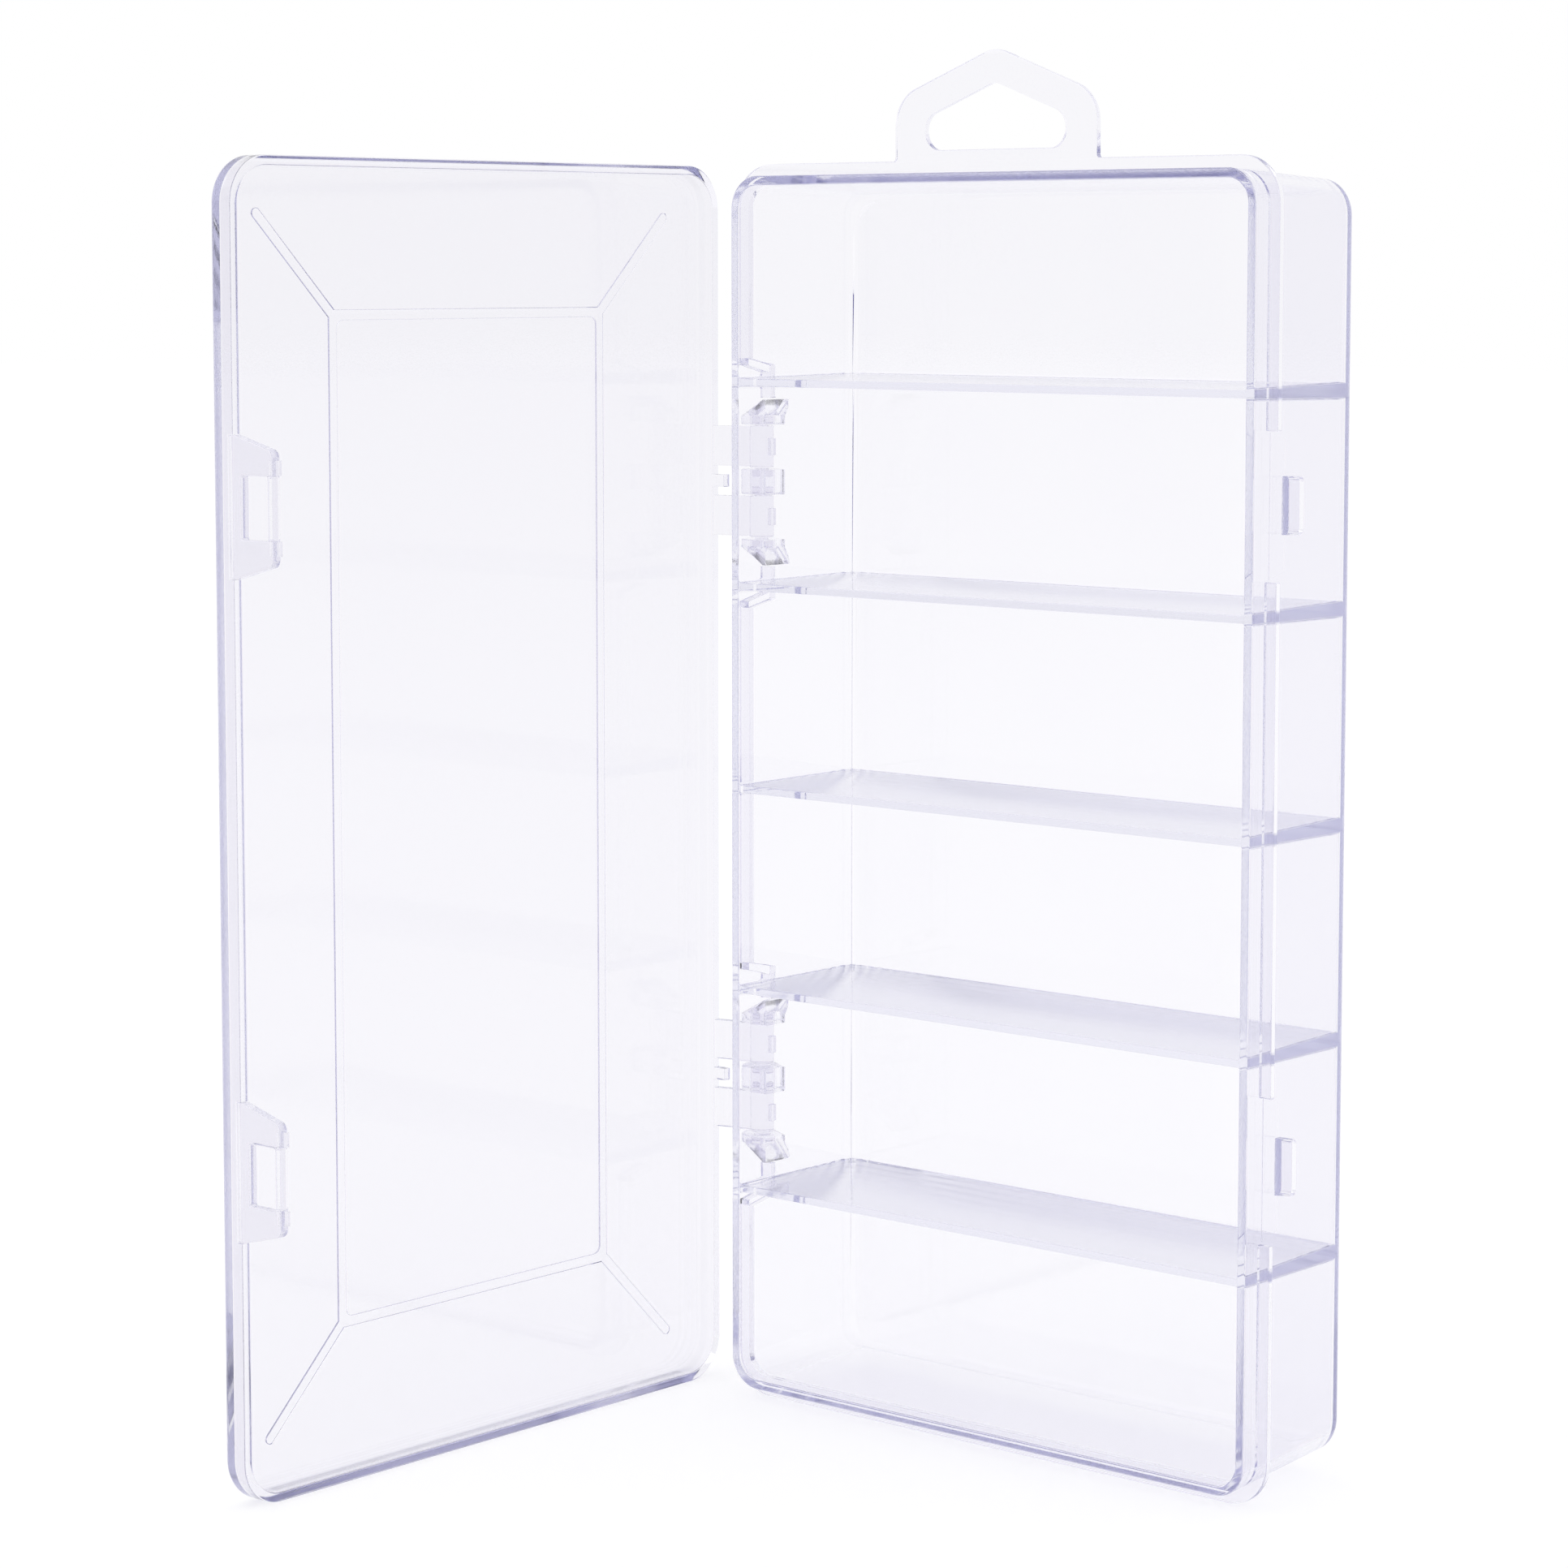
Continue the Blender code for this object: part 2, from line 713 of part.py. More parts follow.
def main():
    clear_scene()
    shell_plastic = clear_plastic("tray_clear_plastic", (0.86, 0.86, 0.93, 1.0), 0.08)
    divider_plastic = clear_plastic("divider_clear_plastic", (0.84, 0.84, 0.93, 1.0), 0.08)
    hinge_plastic = clear_plastic("hinge_clear_plastic", (0.80, 0.80, 0.92, 1.0), 0.12)
    lid_plastic = clear_plastic("lid_clear_plastic", (0.87, 0.87, 0.94, 1.0), 0.06)
    latch_plastic = clear_plastic("latch_clear_plastic", (0.82, 0.82, 0.93, 1.0), 0.10)

    tray_frame = empty("tray_frame", centre_offset)
    build_tray_shell(tray_frame, shell_plastic)
    build_dividers(tray_frame, divider_plastic)
    build_hang_tab(tray_frame, shell_plastic)
    build_hinge_lugs(tray_frame, hinge_plastic)
    build_catches(tray_frame, latch_plastic)

    hinge_origin = Vector((hinge_x, hinge_y, 0))
    lid_frame = empty("lid_hinge", hinge_origin, tray_frame, -lid_open_angle)
    build_lid_shell(lid_frame, hinge_origin, lid_plastic)
    build_knuckles(lid_frame, hinge_origin, hinge_plastic)
    build_latches(lid_frame, hinge_origin, latch_plastic)
    bpy.context.view_layer.update()


main()
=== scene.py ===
"""Looks of a clear small parts box: tray with dividers, snap lid, latch tabs, and a plain white stage."""

import json
import math
from functools import partial

import bmesh
import bpy
from bpy.props import FloatProperty, FloatVectorProperty, IntProperty, PointerProperty
from bpy.types import Operator, Panel, PropertyGroup
from mathutils import Matrix, Vector
from mathutils.geometry import tessellate_polygon


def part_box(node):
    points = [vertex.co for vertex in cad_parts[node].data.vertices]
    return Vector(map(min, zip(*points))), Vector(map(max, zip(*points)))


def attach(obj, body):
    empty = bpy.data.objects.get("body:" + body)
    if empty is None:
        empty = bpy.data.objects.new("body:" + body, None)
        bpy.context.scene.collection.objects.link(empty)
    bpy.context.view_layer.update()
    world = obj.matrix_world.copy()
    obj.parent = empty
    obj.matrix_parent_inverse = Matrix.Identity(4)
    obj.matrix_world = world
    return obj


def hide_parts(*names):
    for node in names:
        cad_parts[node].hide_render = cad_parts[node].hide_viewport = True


bl_info = {
    "name": "Clear parts box",
    "version": (1, 0, 0),
    "blender": (4, 5, 0),
    "location": "View3D > Sidebar > Parts Box",
    "description": "Makes a clear moulded parts box with a snap lid, on a white stage",
    "category": "Add Mesh",
}

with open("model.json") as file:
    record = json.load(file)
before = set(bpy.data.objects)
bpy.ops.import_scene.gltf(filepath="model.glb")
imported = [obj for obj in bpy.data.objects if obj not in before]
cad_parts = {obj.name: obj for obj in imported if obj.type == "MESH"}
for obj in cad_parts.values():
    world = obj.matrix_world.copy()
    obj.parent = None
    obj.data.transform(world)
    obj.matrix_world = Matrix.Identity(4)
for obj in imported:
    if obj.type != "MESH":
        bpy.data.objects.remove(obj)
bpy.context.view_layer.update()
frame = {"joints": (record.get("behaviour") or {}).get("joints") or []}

MM = 0.001
tray_low, tray_high = (Vector(corner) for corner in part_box("tray_shell"))
hinge_joint = next(joint for joint in frame["joints"] if joint["name"] == "lid_hinge")
TRAY_CENTRE = (tray_low.x + tray_high.x) / 2
RIM_Y = tray_low.y
CENTRE_Z = (tray_low.z + tray_high.z) / 2
FLANGE_HALF_WIDTH = (tray_high.x - tray_low.x) / 2
FLANGE_HALF_HEIGHT = (tray_high.z - tray_low.z) / 2
HINGE_SPOT = Vector(hinge_joint["pos_m"])
LID_TURN = Matrix.Rotation(math.radians(-90), 4, "Z")

# Hang tab and its hole
TAB_SIDE, TAB_PEAK, TAB_SHOULDER, TAB_FOOT_FILLET = 9.6 * MM, 17.0 * MM, 6.2 * MM, 0.5 * MM
HOLE_RISE, HOLE_SIDE, HOLE_PEAK, HOLE_END, HOLE_PEAK_RADIUS = 1.6 * MM, 5.0 * MM, 10.1 * MM, 2.9 * MM, 2.4 * MM

# Ledges, dividers and lugs
LEDGE_GAP, LEDGE_SINK, LEDGE_ROUND, LEDGE_SLOPE = 0.3 * MM, 0.05 * MM, 0.3 * MM, 1.3 * MM
DIVIDER_SETBACK, DIVIDER_ROUND_SHARE = 0.2 * MM, 0.25
KNUCKLE_GAP, LUG_ROOT_BEHIND, LUG_ROUND, LUG_TAPER_SHARE = 0.3 * MM, 0.9 * MM, 0.2 * MM, 0.3

# Catches, and the step in the wall around each
CATCH_BACK, CATCH_CREST, CATCH_RAMP = 10.0 * MM, 1.4 * MM, 1.0 * MM
CATCH_CORNER, CATCH_FRONT_CORNER, CATCH_ROUND = 0.9 * MM, 0.2 * MM, 0.25 * MM
LATCH_STEP_HEIGHT, LATCH_STEP_DEPTH, LATCH_STEP_SLOPE, LATCH_STEP_RISE = 19.4 * MM, 8.4 * MM, 1.0 * MM, 0.1 * MM

# Lid: ribs, tongues beside the hinges, arms, pins and nibs
SEAT_GAP = 0.3 * MM
RIB_SINK, RIB_ROUND, RIB_INNER_CORNER = 0.4 * MM, 0.18 * MM, 1.2 * MM
TONGUE_HEIGHT, TONGUE_REACH, TONGUE_INSET = 2.0 * MM, 2.4 * MM, 0.02 * MM
ARM_ROUND, ARM_INSET, ARM_SLACK, PIN_LENGTH = 0.15 * MM, 0.1 * MM, 0.03 * MM, 1.5 * MM
NIB_WIDTH, NIB_HEIGHT, NIB_REACH = 1.1 * MM, 2.8 * MM, 0.6 * MM

# Latch tabs, their notches in the skirt, and the pads at their ends
NOTCH_DEPTH, LATCH_SEAM = 1.1 * MM, 0.1 * MM
LATCH_ROOT_ROUND, LATCH_CORNER, LATCH_ROUND = 0.6 * MM, 1.3 * MM, 0.22 * MM
WINDOW_START, WINDOW_CORNER = 1.6 * MM, 0.35 * MM
PAD_LENGTH, PAD_RISE, PAD_INSET = 1.4 * MM, 0.45 * MM, 0.1 * MM

# How far cutting shapes and roots pass the faces they meet, and how far an end lug's hole goes in
PAST, BORE_DEPTH = 1.0 * MM, 1.5 * MM

# Steps in a quarter turn of a rounding, and in the round outlines
EDGE_STEPS, FLOOR_STEPS, PANEL_STEPS, CATCH_STEPS = 3, 8, 6, 4
OUTLINE_STEPS, LEDGE_STEPS, SMALL_STEPS, WINDOW_STEPS = 14, 6, 8, 4
BARREL_STEPS, PIN_STEPS, NOSE_STEPS, RIB_END_STEPS = 40, 32, 20, 10

# Clean-up of the fused meshes
WELD, SLIVER, SHARP_ANGLE, FLAT_WEIGHT = 0.000004, 0.000002, 32, 90

# Where the moulds are grained: a face mask, and the finish it leads to
GRAINED, GRAINED_MARKS, GRAINED_ROUGHNESS = "grained", 0.9, 0.08
DIVIDER_FACING, DIVIDER_REACH = 0.9, 2.0 * MM
LUG_START, LUG_BEHIND_RIM, HINGE_REACH = 0.4 * MM, 6.5 * MM, 4.5 * MM

# Clear plastic, the blend of its painted edge shade, and the places on a mix node of the colour sockets, whose names
# repeat
PLASTIC_IOR, PAINTED_EDGE_SHADE_BLEND, BUMP_STRENGTH, BUMP_DISTANCE, SOLID_VIEW_ALPHA = 1.46, 0.22, 0.12, 0.0004, 0.4
MIX_SHARE, MIX_FIRST, MIX_SECOND, MIX_RESULT = 0, 6, 7, 2

# Stage: camera in millimetres and degrees, floor in metres, lamps as name, place, size and watts
CAMERA_SPOT = Vector((408.89, -471.44, 183.89)) * MM
CAMERA_YAW, CAMERA_PITCH = 41.141, 5.403
CAMERA_LENS, CAMERA_SHIFT, CAMERA_CLIP = 97.21, -0.075, 0.01
FLOOR_HALF, FLOOR_DROP, FLOOR_ROUGHNESS, FLOOR_LIFT = 6.0, 0.0002, 0.9, 0.38
LAMPS = (("soft_key", (-0.8, -0.9, 1.6), 1.6, 2.0), ("soft_fill", (1.4, 0.6, 1.3), 1.8, 1.0))
LAMP_AIM = Vector((0, 0, 0.1))
CLEAR_BOUNCES, OPEN_BOUNCES = 80, 16


def length(name, description, default):
    return FloatProperty(name=name, description=description, default=default * MM, unit="LENGTH", precision=4)


def tint(name, description, default):
    return FloatVectorProperty(
        name=name, description=description, subtype="COLOR", size=3, min=0, max=1, default=default)


class PARTSBOX_PG_tray(PropertyGroup):
    """Sizes of the tray."""

    wall: length("Wall", "Thickness of the walls and the floor", 1.5)
    draft: length("Draft", "How far the walls draw in between rim and floor", 1.3)
    rim_corner: length("Rim corner", "Radius of the rim's corners", 5.2)
    rim_round: length("Rim edge", "Radius of the rim's two edges", 0.22)
    floor_edge: length("Floor edge", "Radius of the floor's outer edge", 2.6)
    inner_edge: length("Inner edge", "Radius where the floor meets the walls inside", 1.2)
    flange_reach: length("Flange reach", "How far the flange stands out from the rim", 1.9)
    flange_setback: length("Flange setback", "Distance from the rim back to the flange", 3.3)
    flange_thickness: length("Flange thickness", "Thickness of the flange and the hang tab", 1.1)
    hinge_gap: length("Hinge gap", "Height of the flange's gap at a hinge", 38.0)
    latch_gap: length("Latch gap", "Height of the flange's gap at a latch", 22.0)
    edge_round: length("Edge rounding", "Radius on the flange's and the tab's edges", 0.2)
    divider_edge: length("Divider edge", "Thickness of a divider at its front edge", 1.2)
    divider_root: length("Divider root", "Thickness of a divider at the floor", 2.0)
    divider_fillet: length("Divider fillet", "Radius where a divider meets the walls and the floor", 0.45)
    compartments: IntProperty(name="Compartments", description="Number of compartments", default=6, min=2, max=12)


class PARTSBOX_PG_hinge(PropertyGroup):
    """Sizes of the hinges, the catches and the hang tab."""

    outside: length("Hinge outside", "Distance of the hinge line outside the rim", 3.35)
    behind_rim: length("Hinge behind rim", "Distance of the hinge line behind the rim", 10.45)
    lug_radius: length("Lug radius", "Radius of a lug's round nose", 3.3)
    lug_thickness: length("Lug thickness", "Thickness of a lug along the hinge line", 4.05)
    lug_straight: length("Lug straight", "Full part of an end lug before it slopes away", 1.3)
    bore_radius: length("Bore radius", "Radius of the hole for a pin", 1.4)
    knuckle_radius: length("Knuckle radius", "Radius of a knuckle", 1.95)
    knuckle_length: length("Knuckle length", "Length of a knuckle", 6.7)
    pin_radius: length("Pin radius", "Radius of a pin", 1.1)
    arm_thickness: length("Arm thickness", "Thickness of the arm from the lid to a knuckle", 1.5)
    ledge_setback: length("Ledge setback", "Depth of the flange's step back beside a hinge", 8.4)
    catch_height: length("Catch height", "Height of a catch", 8.6)
    catch_reach: length("Catch reach", "How far a catch stands out", 2.6)
    tab_width: length("Tab width", "Width of the hang tab", 39.0)
    hole_width: length("Hole width", "Width of the hang hole", 27.0)


class PARTSBOX_PG_lid(PropertyGroup):
    """Sizes of the lid and its latch tabs."""

    panel: length("Panel", "Thickness of the lid's panel", 1.2)
    skirt: length("Skirt", "Thickness of the lid's skirt", 1.5)
    depth: length("Depth", "Depth of the lid from panel face to rim", 4.6)
    edge: length("Panel edge", "Radius of the lid's outer edge", 1.1)
    inner_edge: length("Inner edge", "Radius inside the lid's skirt", 0.6)
    rim_round: length("Rim edge", "Radius of the lid's rim edges", 0.2)
    rib_width: length("Rib width", "Width of a rib", 1.6)
    rib_rise: length("Rib rise", "How far a rib stands out of the panel", 0.45)
    rib_half_width: length("Rib frame half width", "Half the width of the rib frame", 28.8)
    rib_half_height: length("Rib frame half height", "Half the height of the rib frame", 76.6)
    rib_arm_run: length("Rib arm run", "Sideways run of a diagonal rib", 15.0)
    latch_root: length("Latch root", "Height of a latch tab at its root", 21.0)
    latch_end: length("Latch end", "Height of a latch tab at its free end", 16.7)
    latch_reach: length("Latch reach", "How far a latch tab reaches past the lid's rim", 8.4)
    latch_thickness: length("Latch thickness", "Thickness of a latch tab", 1.6)
    window_height: length("Window height", "Height of a latch tab's window", 9.3)
    window_length: length("Window length", "Length of a latch tab's window", 5.7)


class PARTSBOX_PG_finish(PropertyGroup):
    """Colours and finish of the clear plastic, and the stage."""

    clear_tint: tint("Clear tint", "Surface tint of the tray's clear plastic", (0.94, 0.935, 0.965))
    lid_tint: tint("Lid tint", "Surface tint of the lid's clear plastic", (0.905, 0.898, 0.935))
    # Painted shade: a darker lavender mixed into the base colour of rounded edges seen at grazing angles, drawn in
    # place of their dark outlines
    painted_edge_shade: tint("Painted edge shade", "Tint of rounded edges seen along the surface", (0.84, 0.835, 0.92))
    grain_tint: tint("Grain tint", "Tint of the grain and marks on the plastic", (0.90, 0.89, 0.95))
    depth_tint: tint("Depth tint", "Colour that the plastic takes through its depth", (0.50, 0.50, 0.74))
    depth_density: FloatProperty(
        name="Depth density", description="How strongly depth colours the plastic", default=9.0, min=0)
    gloss: FloatProperty(
        name="Gloss roughness", description="Roughness of the polished faces", default=0.03, min=0, max=1)
    floor_tint: tint("Floor tint", "Colour of the floor", (0.64, 0.64, 0.64))


GROUPS = (PARTSBOX_PG_tray, PARTSBOX_PG_hinge, PARTSBOX_PG_lid, PARTSBOX_PG_finish)
GROUP_NAMES = ("partsbox_tray", "partsbox_hinge", "partsbox_lid", "partsbox_finish")


# Outlines and lofts

def rectangle(left, right, low, high):
    return [(left, low), (right, low), (right, high), (left, high)]


def quarter_turn(steps):
    """Steps round an edge, as the shares of its radius still missing on one face and already gone on the next."""
    angles = [math.pi / 2 * step / steps for step in range(steps + 1)]
    return [(1 - math.sin(angle), 1 - math.cos(angle)) for angle in angles]


def fall_away(radius, along):
    """How far a circle falls away from its tangent."""
    return radius - math.sqrt(max(radius * radius - along * along, 0))


def rounded_outline(points, radii, steps):
    """Rounds each corner of a polygon with an arc tangent to its two sides."""
    outline = []
    for index, (point, radius) in enumerate(zip(points, radii)):
        corner = Vector(point)
        if not radius:
            outline.append(corner)
            continue
        before = (Vector(points[index - 1]) - corner).normalized()
        after = (Vector(points[(index + 1) % len(points)]) - corner).normalized()
        half_angle = before.angle(after) / 2
        centre = corner + (before + after).normalized() * (radius / math.sin(half_angle))
        tangent = radius / math.tan(half_angle)
        start = corner + before * tangent - centre
        end = corner + after * tangent - centre
        sweep = start.angle_signed(end)
        for step in range(steps + 1):
            spoke = start.copy()
            spoke.rotate(Matrix.Rotation(-sweep * step / steps, 2))
            outline.append(centre + spoke)
    return outline


def outline_from_rows(rows, steps):
    """An outline from rows of two coordinates and a corner radius."""
    return rounded_outline([row[:2] for row in rows], [row[2] for row in rows], steps)


def rounded_rectangle(half_x, half_z, radius, steps=OUTLINE_STEPS):
    return rounded_outline(rectangle(half_x, -half_x, half_z, -half_z), [radius] * 4, steps)


def arc(centre, radius, start, sweep, steps):
    angles = [math.radians(start + sweep * step / steps) for step in range(steps + 1)]
    return [Vector((centre[0] + radius * math.cos(angle), centre[1] + radius * math.sin(angle))) for angle in angles]


def area(outline):
    total = 0.0
    for index, point in enumerate(outline):
        after = outline[(index + 1) % len(outline)]
        total += point[0] * after[1] - after[0] * point[1]
    return total / 2


def inset_outline(outline, distance):
    """Moves each side of an outline inwards; outlines run anticlockwise, holes clockwise."""
    moved = []
    for index, point in enumerate(outline):
        before = (point - outline[index - 1]).normalized()
        after = (outline[(index + 1) % len(outline)] - point).normalized()
        inward = (Vector((-before.y, before.x)) + Vector((-after.y, after.x))).normalized()
        share = max(inward.dot(Vector((-after.y, after.x))), 0.3)
        moved.append(point + inward * (distance / share))
    return moved


def add_rings(shape, rings):
    """Joins rings of equal point counts with faces."""
    made = [[shape.verts.new(point) for point in ring] for ring in rings]
    for ring_a, ring_b in zip(made, made[1:]):
        for index in range(len(ring_a)):
            after = (index + 1) % len(ring_a)
            shape.faces.new((ring_a[index], ring_a[after], ring_b[after], ring_b[index]))
    return made


def add_capped(shape, rings):
    made = add_rings(shape, rings)
    shape.faces.new(made[0])
    shape.faces.new(made[-1])


AXES = {
    "y": lambda u, v, depth: Vector((u, depth, v)),
    "z": lambda u, v, depth: Vector((u, v, depth)),
    "x": lambda u, v, depth: Vector((depth, u, v)),
}


def add_plate(shape, outline, low, high, rounding, axis="y", holes=()):
    """A flat plate with rounded edges all round its outline and its holes."""
    place = AXES[axis]
    loops = []
    for index, loop in enumerate((outline, *holes)):
        loop = [Vector(point) for point in loop]
        if (area(loop) > 0) != (index == 0):
            loop.reverse()
        loops.append(loop)
    caps = ([], [])
    for loop in loops:
        rings = []
        for end, sign in ((low, 1), (high, -1)):
            for missing, gone in quarter_turn(EDGE_STEPS)[::sign]:
                depth = end + sign * rounding * gone
                rings.append([place(point.x, point.y, depth) for point in inset_outline(loop, rounding * missing)])
        made = add_rings(shape, rings)
        caps[0].append((inset_outline(loop, rounding), made[0]))
        caps[1].append((inset_outline(loop, rounding), made[-1]))
    for cap in caps:
        verts = [vert for _, ring in cap for vert in ring]
        for triangle in tessellate_polygon([[Vector((point.x, point.y, 0)) for point in flat] for flat, _ in cap]):
            corners = [verts[index] for index in triangle]
            if len(set(corners)) == 3:
                shape.faces.new(corners)


def new_object(name, maker):
    mesh = bpy.data.meshes.new(name)
    shape = bmesh.new()
    maker(shape)
    bmesh.ops.recalc_face_normals(shape, faces=shape.faces)
    shape.to_mesh(mesh)
    shape.free()
    item = bpy.data.objects.new(name, mesh)
    bpy.context.scene.collection.objects.link(item)
    return item


def apply_modifiers(item):
    """Bakes the modifiers into the mesh, so the piece stays as made."""
    graph = bpy.context.evaluated_depsgraph_get()
    mesh = bpy.data.meshes.new_from_object(item.evaluated_get(graph))
    item.modifiers.clear()
    item.data = mesh


def fuse(item, makers, operation="UNION"):
    """Adds or cuts shapes one after another and bakes the result."""
    tools = []
    for index, maker in enumerate(makers):
        tool = new_object(f"{item.name}_tool_{index}", maker)
        modifier = item.modifiers.new(f"step_{index}", "BOOLEAN")
        modifier.operation = operation
        modifier.solver = "EXACT"
        modifier.object = tool
        tools.append(tool)
    bpy.context.view_layer.update()
    apply_modifiers(item)
    for tool in tools:
        bpy.data.objects.remove(tool, do_unlink=True)


def settle_normals(item):
    """Keeps flat faces flat and rounded edges smooth."""
    shape = bmesh.new()
    shape.from_mesh(item.data)
    bmesh.ops.remove_doubles(shape, verts=shape.verts, dist=WELD)
    bmesh.ops.dissolve_degenerate(shape, edges=shape.edges, dist=SLIVER)
    shape.to_mesh(item.data)
    shape.free()
    item.data.shade_smooth()
    item.data.set_sharp_from_angle(angle=math.radians(SHARP_ANGLE))
    modifier = item.modifiers.new("flat_faces", "WEIGHTED_NORMAL")
    modifier.keep_sharp = True
    modifier.weight = FLAT_WEIGHT
    apply_modifiers(item)


# Clear plastic

def set_inputs(tree, node, inputs):
    """Sets a node's inputs, each from a socket to link or from a plain value."""
    for key, value in inputs.items():
        if isinstance(value, bpy.types.NodeSocket):
            tree.links.new(value, node.inputs[key])
        else:
            node.inputs[key].default_value = value


def add_node(tree, kind, inputs=None, **settings):
    node = tree.nodes.new("ShaderNode" + kind)
    for name, value in settings.items():
        setattr(node, name, value)
    set_inputs(tree, node, inputs or {})
    return node


def calculate(tree, operation, first, second, clamp=False):
    return add_node(tree, "Math", {0: first, 1: second}, operation=operation, use_clamp=clamp).outputs[0]


def mix_colours(tree, share, first, second):
    inputs = {MIX_SHARE: share, MIX_FIRST: first, MIX_SECOND: second}
    return add_node(tree, "Mix", inputs, data_type="RGBA").outputs[MIX_RESULT]


def moulded_surface_group():
    """Fine marks of moulded plastic: flow waviness, fine grain, scuffs and specks."""
    found = bpy.data.node_groups.get("Moulded surface")
    if found:
        return found
    group = bpy.data.node_groups.new("Moulded surface", "ShaderNodeTree")
    for name, kind, default in (
        ("Base Tint", "Color", (1, 1, 1, 1)), ("Mark Tint", "Color", (0.9, 0.9, 0.95, 1)), ("Marks", "Float", 0.3),
        ("Grain Size", "Float", 2500.0), ("Roughness", "Float", 0.05), ("Roughness Spread", "Float", 0.03),
        ("Waviness", "Float", 0.5),
    ):
        socket = group.interface.new_socket(name=name, in_out="INPUT", socket_type="NodeSocket" + kind)
        socket.default_value = default
    for name, kind in (("Color", "Color"), ("Roughness", "Float"), ("Height", "Float")):
        group.interface.new_socket(name=name, in_out="OUTPUT", socket_type="NodeSocket" + kind)
    source = group.nodes.new("NodeGroupInput").outputs
    result = group.nodes.new("NodeGroupOutput")
    place = add_node(group, "TexCoord").outputs["Object"]
    combine = partial(calculate, group)

    def noise(scale, detail, distortion=0.0):
        inputs = {"Vector": place, "Scale": scale, "Detail": detail, "Distortion": distortion}
        return add_node(group, "TexNoise", inputs).outputs["Fac"]

    def span(value, low, high):
        inputs = {"Value": value, "From Min": low, "From Max": high}
        return add_node(group, "MapRange", inputs, clamp=True).outputs["Result"]

    flow = noise(scale=28.0, detail=2.0, distortion=0.6)
    grain = span(noise(scale=source["Grain Size"], detail=3.0), 0.42, 0.62)
    specks = span(noise(scale=900.0, detail=1.0), 0.69, 0.74)
    scuffs = span(noise(scale=120.0, detail=5.0, distortion=2.5), 0.60, 0.72)
    cloud = span(noise(scale=45.0, detail=2.0), 0.40, 0.62)
    wear = combine("MAXIMUM", combine("MULTIPLY", scuffs, 0.35), combine("MULTIPLY", specks, 0.8))
    marks = combine("MAXIMUM", combine("MULTIPLY", grain, cloud), wear)
    amount = combine("MULTIPLY", marks, source["Marks"], True)
    uneven = combine("MAXIMUM", marks, combine("MULTIPLY", flow, 0.5))
    spread = combine("MULTIPLY", uneven, source["Roughness Spread"])
    waves = combine("MULTIPLY", flow, source["Waviness"])
    set_inputs(group, result, {
        "Color": mix_colours(group, amount, source["Base Tint"], source["Mark Tint"]),
        "Roughness": combine("ADD", source["Roughness"], spread),
        "Height": combine("ADD", waves, combine("MULTIPLY", grain, 0.02)),
    })
    return group


def clear_plastic(name, base, marks, grain_size, roughness, spread, waviness, painted_edge_shade_share):
    """A clear moulded plastic: tinted through its depth, with painted shade that makes a rounded edge a little darker
    where it turns away from the view.
    """
    finish = bpy.context.scene.partsbox_finish
    material = bpy.data.materials.new(name)
    material.use_nodes = True
    tree = material.node_tree
    mask = add_node(tree, "Attribute", attribute_name=GRAINED).outputs["Fac"]

    def masked(polished, grained):
        inputs = {"Value": mask, "To Min": polished, "To Max": grained}
        return add_node(tree, "MapRange", inputs).outputs["Result"]

    surface = add_node(tree, "Group", {
        "Base Tint": (*base, 1),
        "Mark Tint": (*finish.grain_tint, 1),
        "Marks": masked(marks, GRAINED_MARKS),
        "Grain Size": grain_size,
        "Roughness": masked(roughness, GRAINED_ROUGHNESS),
        "Roughness Spread": spread,
        "Waviness": waviness,
    }, node_tree=moulded_surface_group()).outputs
    # Painted shade: Layer Weight facing mixes the base colour towards the painted edge shade where rounded edges turn
    # away from the view
    facing = add_node(tree, "LayerWeight", {"Blend": PAINTED_EDGE_SHADE_BLEND}).outputs["Facing"]
    edge = calculate(tree, "MULTIPLY", facing, painted_edge_shade_share)
    bumps = {"Strength": BUMP_STRENGTH, "Distance": BUMP_DISTANCE, "Height": surface["Height"]}
    set_inputs(tree, tree.nodes["Principled BSDF"], {
        "Base Color": mix_colours(tree, edge, surface["Color"], (*finish.painted_edge_shade, 1)),
        "Roughness": surface["Roughness"],
        "Normal": add_node(tree, "Bump", bumps).outputs["Normal"],
        "Metallic": 0.0,
        "IOR": PLASTIC_IOR,
        "Transmission Weight": 1.0,
    })
    depth = {"Color": (*finish.depth_tint, 1), "Density": finish.depth_density}
    volume = add_node(tree, "VolumeAbsorption", depth).outputs["Volume"]
    set_inputs(tree, tree.nodes["Material Output"], {"Volume": volume})
    material.diffuse_color = (*base, SOLID_VIEW_ALPHA)
    return material


def piece_plastic(name):
    """The finish of one moulding. Each has one material all over, so light is tinted alike on its way in and out."""
    finish = bpy.context.scene.partsbox_finish
    rows = {
        "Tray plastic": dict(base=finish.clear_tint, marks=0.25, grain_size=2200.0, roughness=finish.gloss,
                             spread=0.04, waviness=0.35, painted_edge_shade_share=0.3),
        "Lid plastic": dict(base=finish.lid_tint, marks=0.22, grain_size=2600.0, roughness=finish.gloss,
                            spread=0.03, waviness=0.25, painted_edge_shade_share=0.3),
        "Latch plastic": dict(base=finish.lid_tint, marks=0.5, grain_size=2000.0, roughness=0.05,
                              spread=0.05, waviness=0.3, painted_edge_shade_share=0.5),
    }
    return bpy.data.materials.get(name) or clear_plastic(name, **rows[name])


def finish_piece(item, body, nodes, plastic, is_grained):
    item.data.materials.append(piece_plastic(plastic))
    settle_normals(item)
    mask = item.data.attributes.new(GRAINED, "FLOAT", "FACE")
    for face, value in zip(item.data.polygons, mask.data):
        value.value = 1.0 if is_grained(face) else 0.0
    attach(item, body)
    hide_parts(*nodes)


# Tray

def tray_spot(x, y, z):
    return Vector((TRAY_CENTRE + x, RIM_Y + y, z))


